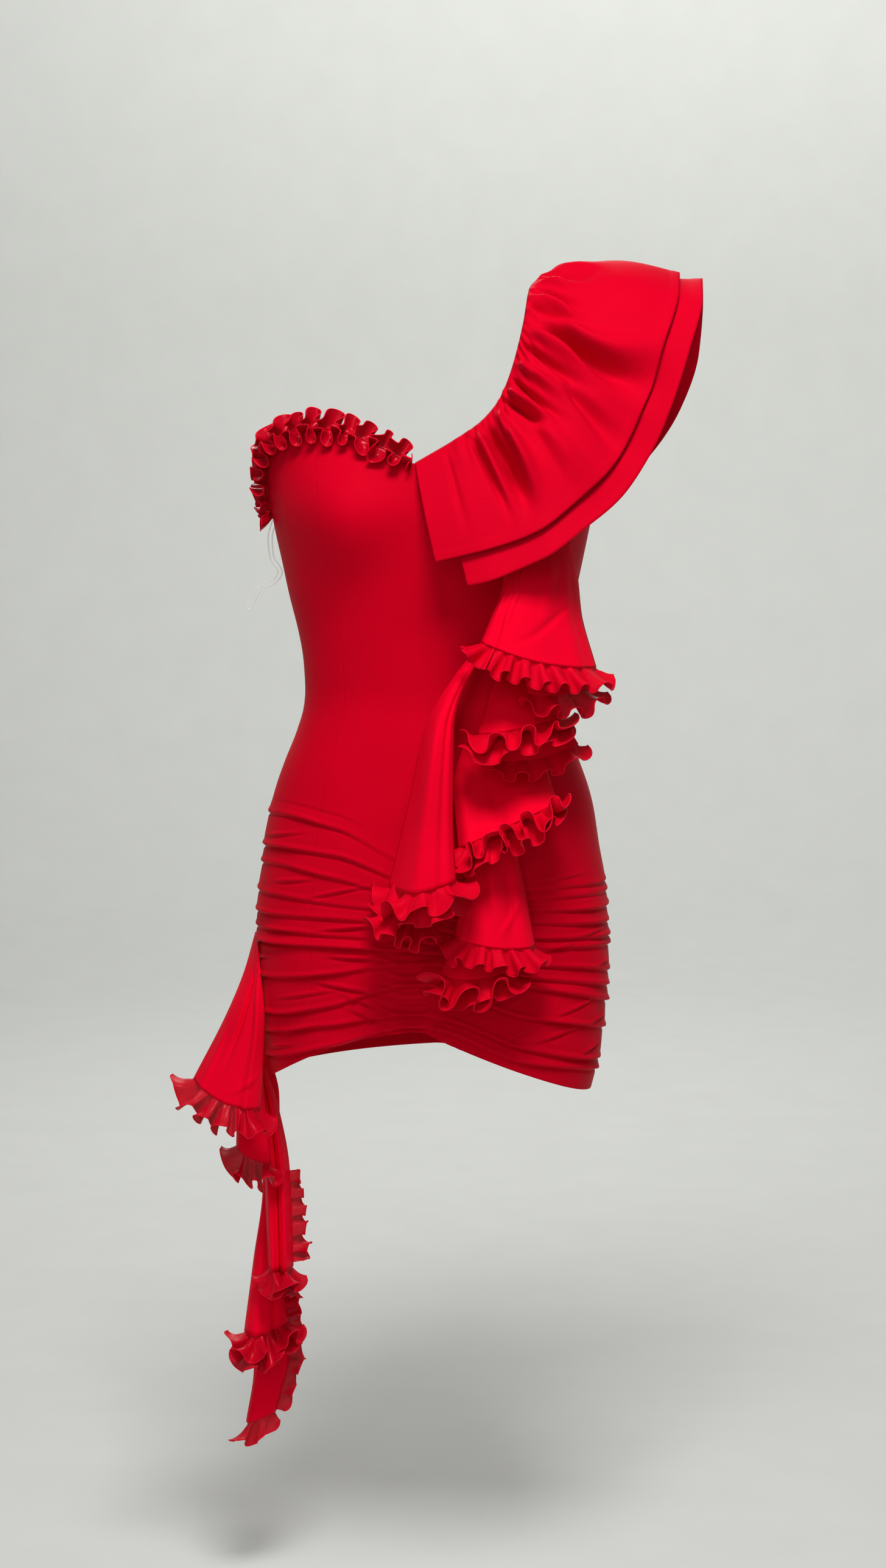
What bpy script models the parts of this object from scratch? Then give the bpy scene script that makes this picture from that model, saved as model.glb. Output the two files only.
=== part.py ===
"""One-shoulder ruffled mini dress, standing hollow as it is worn and held at the left shoulder.

Metres, +Z up. The front faces -Y and the wearer's left is +X. The origin is the point of the
left shoulder under the strap. Sizes are worked out in the figure's own frame first: x across,
y front (-) to back (+), and a drop measured down from the neck end of the shoulder line.
"""
import math

import bpy
import numpy as np
from mathutils.bvhtree import BVHTree


def columns(names, rows):
    """A short table as one array for each named column."""
    return dict(zip(names.split(), np.array(rows, dtype=float).T))


# Where the dress is held: the top of the left shoulder, in the figure's frame (x, y, z).
SHOULDER = np.array([0.130, 0.0, -0.0156])

# Walls and seams.
JERSEY = 0.0012
CREPE = 0.0011
ORGANZA = 0.0009
TAPE_WALL = 0.0007
SEAM = 0.0003
RUFFLE_STAND = 0.0005
CORNER_TURN = 0.55
DIFFERENCE_STEP = 0.0004

# The figure under the cloth: half width, and depth to the front and to the back.
SECTION_POWER = 2.2
BODY = columns("drop half front back", [
    (-0.02, 0.1950, 0.080, 0.085),
    (0.05, 0.1910, 0.086, 0.094),
    (0.10, 0.1840, 0.091, 0.100),
    (0.15, 0.1760, 0.096, 0.101),
    (0.20, 0.1660, 0.103, 0.099),
    (0.237, 0.1585, 0.107, 0.096),
    (0.268, 0.1520, 0.105, 0.094),
    (0.300, 0.1455, 0.101, 0.090),
    (0.346, 0.1340, 0.095, 0.087),
    (0.386, 0.1275, 0.092, 0.085),
    (0.409, 0.1260, 0.091, 0.085),
    (0.4245, 0.1275, 0.092, 0.087),
    (0.4485, 0.1350, 0.096, 0.093),
    (0.4795, 0.1480, 0.101, 0.100),
    (0.503, 0.1560, 0.104, 0.106),
    (0.535, 0.1635, 0.107, 0.115),
    (0.582, 0.1705, 0.109, 0.124),
    (0.622, 0.1750, 0.108, 0.128),
    (0.662, 0.1765, 0.107, 0.127),
    (0.702, 0.1760, 0.105, 0.120),
    (0.742, 0.1730, 0.103, 0.113),
    (0.782, 0.1670, 0.101, 0.106),
    (0.820, 0.1580, 0.098, 0.100),
])
CUP_X, CUP_DROP = 0.083, 0.235
CUP_SPREAD, CUP_DEPTH = 0.052, 0.024
SHOULDER_END, SHOULDER_DROP, SHOULDER_SLOPE = 0.099, 0.005, 0.34
SHOULDER_ROUND = 0.07

# The gathers of the skirt: where each fold lies on the right seam, centre front and left
# seam, and how proud it stands from the right seam round to the left one.
RUCHE_TOP = 0.530
FOLDS = columns("right front left right_depth right_mid front_depth left_mid left_depth", [
    (0.541, 0.580, 0.549, 0.0026, 0.0022, 0.0008, 0.0002, 0.0008),
    (0.563, 0.595, 0.574, 0.0028, 0.0022, 0.0010, 0.0004, 0.0014),
    (0.587, 0.608, 0.600, 0.0022, 0.0018, 0.0006, 0.0012, 0.0024),
    (0.610, 0.622, 0.623, 0.0024, 0.0014, 0.0006, 0.0014, 0.0028),
    (0.634, 0.637, 0.645, 0.0028, 0.0012, 0.0008, 0.0018, 0.0026),
    (0.654, 0.652, 0.665, 0.0024, 0.0022, 0.0016, 0.0012, 0.0024),
    (0.673, 0.665, 0.686, 0.0030, 0.0026, 0.0018, 0.0020, 0.0028),
    (0.695, 0.678, 0.704, 0.0030, 0.0018, 0.0020, 0.0022, 0.0028),
    (0.718, 0.691, 0.724, 0.0028, 0.0026, 0.0020, 0.0024, 0.0026),
    (0.739, 0.704, 0.747, 0.0030, 0.0020, 0.0022, 0.0026, 0.0030),
    (0.760, 0.717, 0.770, 0.0028, 0.0024, 0.0022, 0.0024, 0.0028),
    (0.781, 0.729, 0.793, 0.0022, 0.0018, 0.0016, 0.0022, 0.0022),
])
HEM = {"right": 0.798, "front": 0.737, "left": 0.808, "back": 0.786}
FRONT_EASE = {"right": 1.7, "left": 0.8}

# The upper outline of the front and of the back: the angle that a column of the wall has at
# the waist (0 at the left seam, 90 at the centre front, 180 at the right seam), and its top.
FRONT_TOP = columns("angle x drop", [
    (0, 0.1585, 0.237), (7, 0.1596, 0.222), (14, 0.1591, 0.195), (21, 0.1569, 0.155),
    (28, 0.1545, 0.105), (34, 0.1600, 0.062), (40, 0.1650, 0.0274), (48, 0.1350, 0.0172),
    (56, 0.1050, 0.0070), (59, 0.0970, 0.0180),
    (62, 0.0930, 0.050), (67, 0.0840, 0.092), (72, 0.0720, 0.124), (78, 0.0550, 0.146),
    (84, 0.0300, 0.164), (92.3, -0.0091, 0.187), (100, -0.0310, 0.1755), (108, -0.0540, 0.1650),
    (118, -0.0800, 0.1555), (128, -0.1040, 0.1515), (137, -0.1220, 0.1520),
    (146, -0.1390, 0.1560), (155, -0.1520, 0.1640), (164, -0.1600, 0.1790),
    (172, -0.1620, 0.2050), (180, -0.1585, 0.237),
])
PRINCESS_ANGLE = 128
BACK_TOP = columns("angle x drop", [
    (191, -0.1560, 0.2368), (206, -0.1430, 0.2360), (224, -0.1140, 0.2340),
    (242, -0.0760, 0.2290), (257, -0.0380, 0.2190), (268, -0.0060, 0.2030),
    (277, 0.0230, 0.185), (285, 0.0480, 0.164), (292, 0.0680, 0.138), (298, 0.0820, 0.104),
    (303, 0.0920, 0.058), (305.5, 0.0970, 0.0180), (308, 0.1050, 0.0070), (315, 0.1350, 0.0172),
    (322, 0.1650, 0.0274), (328.5, 0.1625, 0.062), (335, 0.1590, 0.105),
    (342, 0.1609, 0.155), (348, 0.1601, 0.195), (354, 0.1597, 0.222),
])
SWEETHEART_ANGLE = 92.3
SHOULDER_FRONT, SHOULDER_BACK = 56, 308
RUFFLE_BACK_ANGLE = 268
UPPER_ROWS = 16
UPPER_SPACING = 1.35

# The shoulder ruffle: the free edge of its upper layer from the centre front, over the
# shoulder and down the back; u is the share of the gathered edge, 0.5 at the shoulder.
RUFFLE_EDGE = columns("u x y drop", [
    (0.00, 0.0137, -0.140, 0.2815), (0.10, 0.0670, -0.152, 0.2690),
    (0.19, 0.1100, -0.152, 0.2530), (0.26, 0.1440, -0.138, 0.2260),
    (0.32, 0.1750, -0.118, 0.1960), (0.37, 0.1970, -0.100, 0.1600),
    (0.41, 0.2125, -0.092, 0.1230), (0.45, 0.2310, -0.074, 0.0665),
    (0.48, 0.2420, -0.044, 0.0250), (0.51, 0.2435, 0.002, 0.0025),
    (0.55, 0.2450, 0.048, 0.0200), (0.60, 0.2420, 0.078, 0.0640),
    (0.66, 0.2270, 0.098, 0.1140), (0.73, 0.1980, 0.114, 0.1620),
    (0.81, 0.1580, 0.128, 0.2040), (0.90, 0.1050, 0.140, 0.2380),
    (1.00, 0.0450, 0.140, 0.2620),
])
RUFFLE_CROWN = 0.010
RUFFLE_HEART = np.array([0.06, 0.0, -0.30])
RUFFLE_COLUMNS = 60
RUFFLE_OUT = [0.0, 0.17, 0.36, 0.60, 0.80, 1.0]
UNDER_OUT = [0.0, 0.36, 0.80, 1.17]
UNDER_TRIM = 2
UNDER_SINK = 0.008
UNDER_GATHER = 0.55
# Gathers of the ruffle: place along the gathered edge, half width there, and the height of
# the fold at the seam, a third of the way out, two thirds out and at the free edge.
RUFFLE_FOLDS = columns("u half seam inner outer edge", [
    (0.035, 0.020, 0.0015, 0.0010, 0.000, 0.000), (0.085, 0.022, 0.0030, 0.0050, 0.002, 0.000),
    (0.130, 0.020, 0.0030, 0.0080, 0.007, 0.004), (0.175, 0.022, 0.0035, 0.0120, 0.012, 0.006),
    (0.220, 0.020, 0.0030, 0.0070, 0.003, 0.000), (0.262, 0.020, 0.0035, 0.0090, 0.005, 0.002),
    (0.302, 0.018, 0.0035, 0.0100, 0.006, 0.002), (0.345, 0.022, 0.0030, 0.0120, 0.012, 0.006),
    (0.390, 0.018, 0.0035, 0.0070, 0.003, 0.000), (0.425, 0.016, 0.0030, 0.0060, 0.004, 0.001),
    (0.462, 0.018, 0.0030, 0.0050, 0.004, 0.002), (0.505, 0.020, 0.0030, 0.0040, 0.003, 0.001),
    (0.548, 0.020, 0.0030, 0.0060, 0.004, 0.001), (0.592, 0.020, 0.0035, 0.0080, 0.005, 0.002),
    (0.640, 0.022, 0.0030, 0.0110, 0.009, 0.004), (0.690, 0.022, 0.0035, 0.0080, 0.005, 0.001),
    (0.740, 0.022, 0.0030, 0.0100, 0.009, 0.005), (0.790, 0.022, 0.0035, 0.0070, 0.004, 0.001),
    (0.840, 0.022, 0.0030, 0.0090, 0.009, 0.004), (0.895, 0.024, 0.0030, 0.0060, 0.004, 0.002),
    (0.950, 0.022, 0.0020, 0.0030, 0.002, 0.000),
])

# Hanging cloth: each leaf is a list of sections from its seat down to its free edge. A
# section has its left end (x, y, drop), its right end (x, y, drop), how far its middle bows
# forward and how far it rises. A seat has only x and drop, or a y and a drop at the right side,
# because it lies on the body. folds is the number of soft folds, depth their height.
FRONT_LEAVES = {
    "cascade_tier_1": {"seat": (0.076, 0.262, 0.138, 0.262), "folds": 1.5, "depth": 0.005, "rows": [
        (0.0765, -0.136, 0.295, 0.1455, -0.082, 0.2955, 0.012, 0.000),
        (0.0660, -0.150, 0.330, 0.1495, -0.102, 0.3300, 0.014, 0.002),
        (0.0560, -0.158, 0.355, 0.1640, -0.120, 0.3810, 0.014, 0.006)]},
    "cascade_turn_1": {"seat": (0.088, 0.335, 0.124, 0.335), "folds": 1.0, "depth": 0.003, "rows": [
        (0.0920, -0.118, 0.370, 0.1400, -0.088, 0.3680, 0.006, 0.000),
        (0.1000, -0.136, 0.405, 0.1600, -0.098, 0.4000, 0.006, 0.004)]},
    "cascade_tier_2": {"seat": (0.076, 0.372, 0.110, 0.372), "folds": 1.0, "depth": 0.004, "rows": [
        (0.0660, -0.108, 0.398, 0.1200, -0.088, 0.3980, 0.006, 0.000),
        (0.0520, -0.137, 0.443, 0.1300, -0.115, 0.4290, 0.008, 0.002)]},
    "cascade_turn_2": {"seat": (0.084, 0.420, 0.116, 0.420), "folds": 1.0, "depth": 0.003, "rows": [
        (0.0740, -0.108, 0.448, 0.1360, -0.082, 0.4400, 0.004, 0.000),
        (0.0700, -0.120, 0.470, 0.1470, -0.092, 0.4560, 0.004, 0.005)]},
    "cascade_tier_3": {"seat": (0.070, 0.458, 0.110, 0.458), "folds": 1.0, "depth": 0.004, "rows": [
        (0.0500, -0.107, 0.495, 0.1190, -0.088, 0.4880, 0.004, 0.000),
        (0.0330, -0.136, 0.553, 0.1270, -0.118, 0.5100, 0.008, 0.000)]},
    "cascade_long_fold": {"seat": (0.060, 0.352, 0.072, 0.352), "folds": 0.0, "depth": 0.0, "rows": [
        (0.0300, -0.120, 0.388, 0.0440, -0.120, 0.3880, 0.004, 0.000),
        (0.0015, -0.138, 0.437, 0.0300, -0.142, 0.4370, 0.009, 0.000),
        (-0.0160, -0.150, 0.517, 0.0295, -0.158, 0.5170, 0.013, 0.000),
        (-0.0340, -0.158, 0.592, 0.0330, -0.170, 0.5800, 0.014, 0.004)]},
    "cascade_long_turn": {"seat": (-0.012, 0.510, 0.012, 0.510), "folds": 1.0, "depth": 0.003, "rows": [
        (-0.0200, -0.132, 0.560, 0.0130, -0.134, 0.5600, 0.004, 0.000),
        (-0.0370, -0.148, 0.609, 0.0090, -0.150, 0.6180, 0.004, 0.004)]},
    "cascade_tier_4": {"seat": (0.045, 0.532, 0.080, 0.532), "folds": 1.5, "depth": 0.004, "rows": [
        (0.0400, -0.118, 0.580, 0.0900, -0.108, 0.5660, 0.004, 0.000),
        (0.0300, -0.137, 0.638, 0.1070, -0.126, 0.6490, 0.008, 0.004)]},
    "cascade_tier_5": {"seat": (0.046, 0.602, 0.084, 0.602), "folds": 1.0, "depth": 0.003, "rows": [
        (0.0300, -0.115, 0.640, 0.0920, -0.108, 0.6360, 0.002, 0.000),
        (0.0160, -0.123, 0.676, 0.0880, -0.117, 0.6700, 0.002, 0.006)]},
}
TAIL_LEAVES = {
    "tail_tier_1": {"side_seat": (-0.004, -0.030, 0.654), "folds": 1.5, "depth": 0.006, "rows": [
        (-0.1880, -0.014, 0.690, -0.1730, -0.044, 0.6900, 0.002, 0.000),
        (-0.2060, -0.024, 0.735, -0.1700, -0.055, 0.7350, 0.006, 0.000),
        (-0.2390, -0.034, 0.800, -0.1690, -0.062, 0.8240, 0.012, 0.006)]},
    "tail_tier_2": {"side_seat": (0.016, 0.003, 0.673), "folds": 1.0, "depth": 0.003, "rows": [
        (-0.1890, 0.002, 0.720, -0.1830, -0.006, 0.7200, 0.000, 0.000),
        (-0.1980, -0.004, 0.790, -0.1735, -0.012, 0.7900, 0.002, 0.000),
        (-0.1990, -0.014, 0.872, -0.1630, -0.024, 0.8880, 0.006, 0.003)]},
    "tail_column": {"side_seat": (0.034, 0.021, 0.673), "folds": 2.0, "depth": 0.005, "rows": [
        (-0.1860, 0.012, 0.730, -0.1820, 0.006, 0.7300, 0.000, 0.000),
        (-0.1820, 0.008, 0.785, -0.1735, 0.004, 0.7850, 0.000, 0.000),
        (-0.1770, 0.000, 0.830, -0.1590, 0.000, 0.8300, 0.000, 0.000),
        (-0.1720, -0.006, 0.900, -0.1460, -0.006, 0.9000, 0.000, 0.000),
        (-0.1680, -0.012, 0.998, -0.1420, -0.012, 0.9980, 0.004, 0.002)]},
    "tail_long": {"side_seat": (0.052, 0.040, 0.695), "folds": 1.0, "depth": 0.003, "rows": [
        (-0.1870, 0.036, 0.750, -0.1790, 0.034, 0.7500, 0.000, 0.000),
        (-0.1820, 0.026, 0.830, -0.1600, 0.028, 0.8300, 0.000, 0.000),
        (-0.1760, 0.020, 0.920, -0.1590, 0.022, 0.9200, 0.000, 0.000),
        (-0.1860, 0.014, 1.000, -0.1580, 0.018, 1.0000, 0.004, 0.000),
        (-0.1950, 0.006, 1.072, -0.1500, 0.010, 1.0620, 0.010, 0.004)]},
    "tail_tip": {"under": ("tail_long", 0.90), "folds": 1.0, "depth": 0.002, "rows": [
        (-0.1880, 0.028, 1.115, -0.1510, 0.028, 1.1000, 0.002, 0.000),
        (-0.1960, 0.024, 1.174, -0.1650, 0.024, 1.1620, 0.002, 0.000)]},
}
LEAF_COLUMNS, LEAF_ROWS = 8, 5
FOLD_ROOM = 0.030

# Gathered frills: the leaf that each is sewn to, its edge and the stretch of it, the number
# of waves, the width at its two ends, the height of the waves, how far it leans forward for
# each unit of width, and how far its ends spread.
FRILLS = {
    "frill_tier_1": ("cascade_tier_1", "edge", 0.0, 1.0, 10, 0.026, 0.024, 0.0060, 0.10, 0.014),
    "frill_turn_1": ("cascade_turn_1", "edge", 0.0, 1.0, 5, 0.022, 0.024, 0.0050, 0.00, 0.006),
    "frill_tier_2": ("cascade_tier_2", "edge", 0.0, 1.0, 8, 0.023, 0.024, 0.0055, 0.10, 0.010),
    "frill_turn_2": ("cascade_turn_2", "edge", 0.0, 1.0, 7, 0.022, 0.022, 0.0045, 0.00, 0.004),
    "frill_tier_3": ("cascade_tier_3", "edge", 0.0, 1.0, 9, 0.026, 0.026, 0.0055, 0.10, 0.006),
    "frill_long_fold": ("cascade_long_fold", "edge", 0.0, 1.0, 8, 0.024, 0.022, 0.0060, 0.10, 0.018),
    "frill_long_turn": ("cascade_long_turn", "edge", 0.0, 1.0, 5, 0.028, 0.030, 0.0045, 0.00, 0.008),
    "frill_tier_4": ("cascade_tier_4", "edge", 0.0, 1.0, 8, 0.024, 0.024, 0.0050, 0.05, 0.012),
    "frill_tier_5": ("cascade_tier_5", "edge", 0.0, 1.0, 7, 0.030, 0.028, 0.0040, 0.00, 0.008),
    "tail_frill_1": ("tail_tier_1", "edge", 0.0, 1.0, 7, 0.028, 0.027, 0.0060, 0.05, 0.014),
    "tail_frill_2": ("tail_tier_2", "edge", 0.0, 1.0, 4, 0.030, 0.026, 0.0045, 0.00, 0.006),
    "tail_column_frill": ("tail_column", "edge", 0.0, 1.0, 3, 0.024, 0.022, 0.0045, 0.10, 0.010),
    "tail_column_side_frill": ("tail_column", "right", 0.62, 0.90, 5, 0.012, 0.015, 0.0040, 0.0, 0.0),
    "tail_long_frill": ("tail_long", "edge", 0.0, 1.0, 6, 0.036, 0.030, 0.0060, 0.20, 0.016),
    "tail_long_side_frill": ("tail_long", "right", 0.86, 0.97, 3, 0.012, 0.014, 0.0040, 0.0, 0.0),
    "tail_tip_frill": ("tail_tip", "edge", 0.0, 1.0, 3, 0.026, 0.018, 0.0040, 0.00, 0.000),
    "tail_tip_side_frill": ("tail_tip", "right", 0.15, 0.95, 5, 0.014, 0.014, 0.0040, 0.0, 0.0),
}
SEAM_WAVE = 0.0008
WAVE_STEPS = 4
UNEVEN = 0.22

NECK_WAVES = 19
NECK_SPAN = (0.012, 0.985)
NECK_STAND, NECK_STAND_LEAN = 0.0120, 0.35
NECK_FALL, NECK_FALL_OUT, NECK_FALL_DOWN = 0.0145, 0.80, 0.60
NECK_WAVE = 0.0042
NECK_SEAT = 0.003
CUP_CENTRE = np.array([-0.085, -0.080, -0.250])

TAPE_WIDTH = 0.006
TAPE_GAP = 0.004
TAPE_SEAT = 0.2405
TAPE_PATH = [(-0.1628, 0.258), (-0.1615, 0.276), (-0.1530, 0.292), (-0.1600, 0.302),
             (-0.1740, 0.309), (-0.1835, 0.327)]
TAPE_Y = 0.008

RED = (0.80, 0.002, 0.020, 1.0)
FRILL_RED = (0.62, 0.002, 0.014, 1.0)
CLEAR = (0.92, 0.95, 0.95, 1.0)


def smooth(xs, ys, x):
    """The value at x of a cubic that keeps the shape of the table's rows, without overshoot."""
    step = np.diff(xs)
    slope = np.diff(ys) / step
    product = slope[:-1] * slope[1:]
    total = np.where(np.abs(slope[:-1] + slope[1:]) < 1e-12, 1.0, slope[:-1] + slope[1:])
    middle = np.where(product > 0, 2 * product / total, 0.0)
    tangent = np.concatenate([slope[:1], middle, slope[-1:]])
    x = np.clip(x, xs[0], xs[-1])
    cell = np.clip(np.searchsorted(xs, x, side="right") - 1, 0, len(step) - 1)
    t = (x - xs[cell]) / step[cell]
    a = 2 * t ** 3 - 3 * t ** 2 + 1
    b = (t ** 3 - 2 * t ** 2 + t) * step[cell]
    c = (t ** 3 - t ** 2) * step[cell]
    return a * ys[cell] + (1 - a) * ys[cell + 1] + b * tangent[cell] + c * tangent[cell + 1]


def table(rows, key, name, x):
    """A named column of a table, smoothed, at the values x of its key column."""
    return smooth(rows[key], rows[name], x)


def ramp(x):
    """0 below 0, 1 above 1 and smooth between."""
    x = np.clip(x, 0.0, 1.0)
    return x * x * (3 - 2 * x)


def unit(v):
    """The vectors, each one metre long."""
    return v / np.maximum(np.linalg.norm(v, axis=-1, keepdims=True), 1e-12)


def shoulder_drop(x):
    """The drop of the shoulder line, which slopes away from the neck."""
    return SHOULDER_DROP + SHOULDER_SLOPE * np.maximum(np.abs(x) - SHOULDER_END, 0.0)


def skin(x, drop, side):
    """A point of the outer cloth over the figure; side is -1 for the front and 1 for the back."""
    x, drop = np.broadcast_arrays(np.asarray(x, float), np.asarray(drop, float))
    half = table(BODY, "drop", "half", drop)
    depth = table(BODY, "drop", "front" if side < 0 else "back", drop)
    inside = np.maximum(1 - np.clip(np.abs(x) / half, 0, 1) ** SECTION_POWER, 0)
    below = np.clip((drop - shoulder_drop(x)) / SHOULDER_ROUND, 0, 1)
    y = depth * inside ** (1 / SECTION_POWER) * np.sqrt(1 - (1 - below) ** 2)
    if side < 0:
        cup = ((np.abs(x) - CUP_X) ** 2 + (drop - CUP_DROP) ** 2) / CUP_SPREAD ** 2
        y = y + CUP_DEPTH * np.exp(-cup) * np.minimum(inside * 4, 1)
    return np.stack([x, side * (y + SEAM / 2), -drop], axis=-1)


def figure_share(x, y, drop):
    """1 on the outer cloth, less inside it and more outside it; y is negative at the front."""
    half = table(BODY, "drop", "half", drop)
    ahead = y < 0
    depth = np.where(ahead, table(BODY, "drop", "front", drop), table(BODY, "drop", "back", drop))
    inside = np.maximum(1 - np.clip(np.abs(x) / half, 0, 1) ** SECTION_POWER, 0)
    below = np.clip((drop - shoulder_drop(x)) / SHOULDER_ROUND, 0.003, 1)
    cap = np.sqrt(1 - (1 - below) ** 2)
    cup = np.exp(-((np.abs(x) - CUP_X) ** 2 + (drop - CUP_DROP) ** 2) / CUP_SPREAD ** 2)
    cup = np.where(ahead, CUP_DEPTH * cup * np.minimum(inside * 4, 1), 0.0)
    reach = np.maximum(np.abs(y) - SEAM / 2 - cup, 0) / (depth * cap)
    return (np.abs(x) / half) ** SECTION_POWER + reach ** SECTION_POWER


def figure_normals(points):
    """The outward directions of the outer cloth at its points, by small differences."""
    x, y, drop = points[..., 0], points[..., 1], -points[..., 2]
    step = DIFFERENCE_STEP
    slope = [figure_share(x + step, y, drop) - figure_share(x - step, y, drop),
             figure_share(x, y + step, drop) - figure_share(x, y - step, drop),
             figure_share(x, y, drop - step) - figure_share(x, y, drop + step)]
    return unit(np.stack(slope, axis=-1))


def share_across(angle):
    """The share of the half width, 1 at the left seam and -1 at the right, at an angle."""
    c = np.cos(np.radians(angle))
    return np.sign(c) * np.abs(c) ** (2 / SECTION_POWER)


def column_x(angle, drop, outline, outer, inner):
    """The x of a column at a drop, spaced between the two outlines that bound it there.

    Each outline is a run of angles in the table of tops. Below its lowest point the wall is
    bounded by the column of that point, so the spacing is that of the plain section.
    """
    half = table(BODY, "drop", "half", drop)
    limits = []
    for first, last in (outer, inner):
        low, high = min(first, last), max(first, last)
        run = (outline["angle"] >= low) & (outline["angle"] <= high)
        order = np.argsort(outline["drop"][run])
        falls = outline["drop"][run][order]
        share = share_across(outline["angle"][run])[order]
        place = outline["x"][run][order]
        end = share_across(first)
        limit_share = np.where(drop > falls[-1], end, np.interp(drop, falls, share))
        limit_x = np.where(drop > falls[-1], half * end, np.interp(drop, falls, place))
        limits.append((limit_share, limit_x))
    (share_out, x_out), (share_in, x_in) = limits
    span = share_out - share_in
    mix = (share_across(angle) - share_in) / np.where(np.abs(span) < 1e-9, 1.0, span)
    return x_in + mix * (x_out - x_in)


def round_drop(right, front, left, angle):
    """The drop of a line that runs round the skirt, from its drops at the seams and the front."""
    c = np.cos(np.radians(angle))
    side = np.where(c < 0, right, left)
    ease = np.where(c < 0, FRONT_EASE["right"], FRONT_EASE["left"])
    ahead = front + (side - front) * np.abs(c) ** ease
    share = (HEM["back"] - RUCHE_TOP) / ((HEM["right"] + HEM["left"]) / 2 - RUCHE_TOP)
    back = RUCHE_TOP + ((right + left) / 2 - RUCHE_TOP) * share
    behind = back + (side - back) * np.abs(c)
    return np.where(np.sin(np.radians(angle)) > -1e-9, ahead, behind)


def hem_drop(angle):
    """The drop of the hem round the body."""
    return round_drop(HEM["right"], HEM["front"], HEM["left"], angle)


def ruche_top_drop(angle):
    """The drop of the line where the gathers start."""
    return round_drop(RUCHE_TOP, RUCHE_TOP + 0.040, RUCHE_TOP, angle)


def fold_drop(k, angle):
    """The drop of fold k round the body."""
    return round_drop(FOLDS["right"][k], FOLDS["front"][k], FOLDS["left"][k], angle)


def fold_depth(k, angle):
    """How proud fold k stands round the body."""
    names = ["left_depth", "left_mid", "front_depth", "right_mid", "right_depth"]
    left, left_mid, front, right_mid, right = (FOLDS[n][k] for n in names)
    at = np.arange(0.0, 361.0, 45.0)
    height = [left, left_mid, front, right_mid, right, 0.8 * right_mid, 0.3 * front,
              0.8 * left_mid, left]
    return smooth(at, np.array(height), np.mod(angle, 360.0))


def ruche(angle, drop):
    """How proud the gathers stand at an angle and a drop."""
    count = len(FOLDS["front"])
    lines = [ruche_top_drop(angle)] + [fold_drop(k, angle) for k in range(count)]
    lines.append(hem_drop(angle))
    lift = np.zeros_like(drop)
    for k in range(count):
        above = (lines[k + 1] - lines[k]) / 2
        below = (lines[k + 2] - lines[k + 1]) / 2
        off = drop - lines[k + 1]
        near = np.where(off < 0, -off / above, off / below)
        lift = lift + fold_depth(k, angle) * np.clip(1 - near, 0, 1)
    return lift


def grid_normals(points):
    """Unit normals of a grid of points, with the mitre that keeps a wall's thickness."""
    across = points[1:, 1:] - points[:-1, :-1]
    other = points[1:, :-1] - points[:-1, 1:]
    face = unit(np.cross(across, other))
    rows, cols = points.shape[:2]
    total = np.zeros((rows, cols, 3))
    for i in (0, 1):
        for j in (0, 1):
            total[i:rows - 1 + i, j:cols - 1 + j] += face
    normal = unit(total)
    turn = np.zeros((rows, cols))
    count = np.zeros((rows, cols))
    for i in (0, 1):
        for j in (0, 1):
            part = normal[i:rows - 1 + i, j:cols - 1 + j]
            turn[i:rows - 1 + i, j:cols - 1 + j] += np.sum(part * face, axis=-1)
            count[i:rows - 1 + i, j:cols - 1 + j] += 1
    mitre = 1 / np.clip(turn / count, CORNER_TURN, 1.0)
    return normal, mitre[..., None]


def material(name, colour, roughness):
    """A plain finish with the cloth's colour."""
    finish = bpy.data.materials.new(name)
    finish.use_nodes = True
    shader = finish.node_tree.nodes["Principled BSDF"]
    shader.inputs["Base Color"].default_value = colour
    shader.inputs["Roughness"].default_value = roughness
    shader.inputs["Metallic"].default_value = 0.0
    finish.diffuse_color = colour
    return finish


def add_object(name, verts, faces, colour, roughness):
    """One closed solid, its faces turned out and its points set from the shoulder."""
    verts = np.asarray(verts, float) - SHOULDER
    tris = np.array([(f[0], f[i], f[i + 1]) for f in faces for i in range(1, len(f) - 1)])
    a, b, c = verts[tris[:, 0]], verts[tris[:, 1]], verts[tris[:, 2]]
    if np.sum(a * np.cross(b, c)) < 0:
        faces = [tuple(reversed(f)) for f in faces]
    mesh = bpy.data.meshes.new(name)
    mesh.from_pydata(verts.tolist(), [], faces)
    mesh.materials.append(material(name, colour, roughness))
    mesh.shade_smooth()
    mesh.set_sharp_from_angle(angle=math.radians(50))
    bpy.context.collection.objects.link(bpy.data.objects.new(name, mesh))


def grid_faces(grid):
    """The triangles of a grid of points, each cell cut along its shorter diagonal."""
    rows, cols = grid.shape[:2]
    a = np.arange(rows * cols).reshape(rows, cols)[:-1, :-1]
    falling = np.linalg.norm(grid[:-1, 1:] - grid[1:, :-1], axis=-1)
    rising = np.linalg.norm(grid[:-1, :-1] - grid[1:, 1:], axis=-1)
    short = (falling <= rising + 1e-7)[..., None]
    first = np.where(short, np.stack([a, a + 1, a + cols], axis=-1),
                     np.stack([a, a + 1, a + cols + 1], axis=-1))
    second = np.where(short, np.stack([a + 1, a + cols + 1, a + cols], axis=-1),
                      np.stack([a, a + cols + 1, a + cols], axis=-1))
    return np.stack([first, second], axis=2).reshape(-1, 3)


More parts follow.
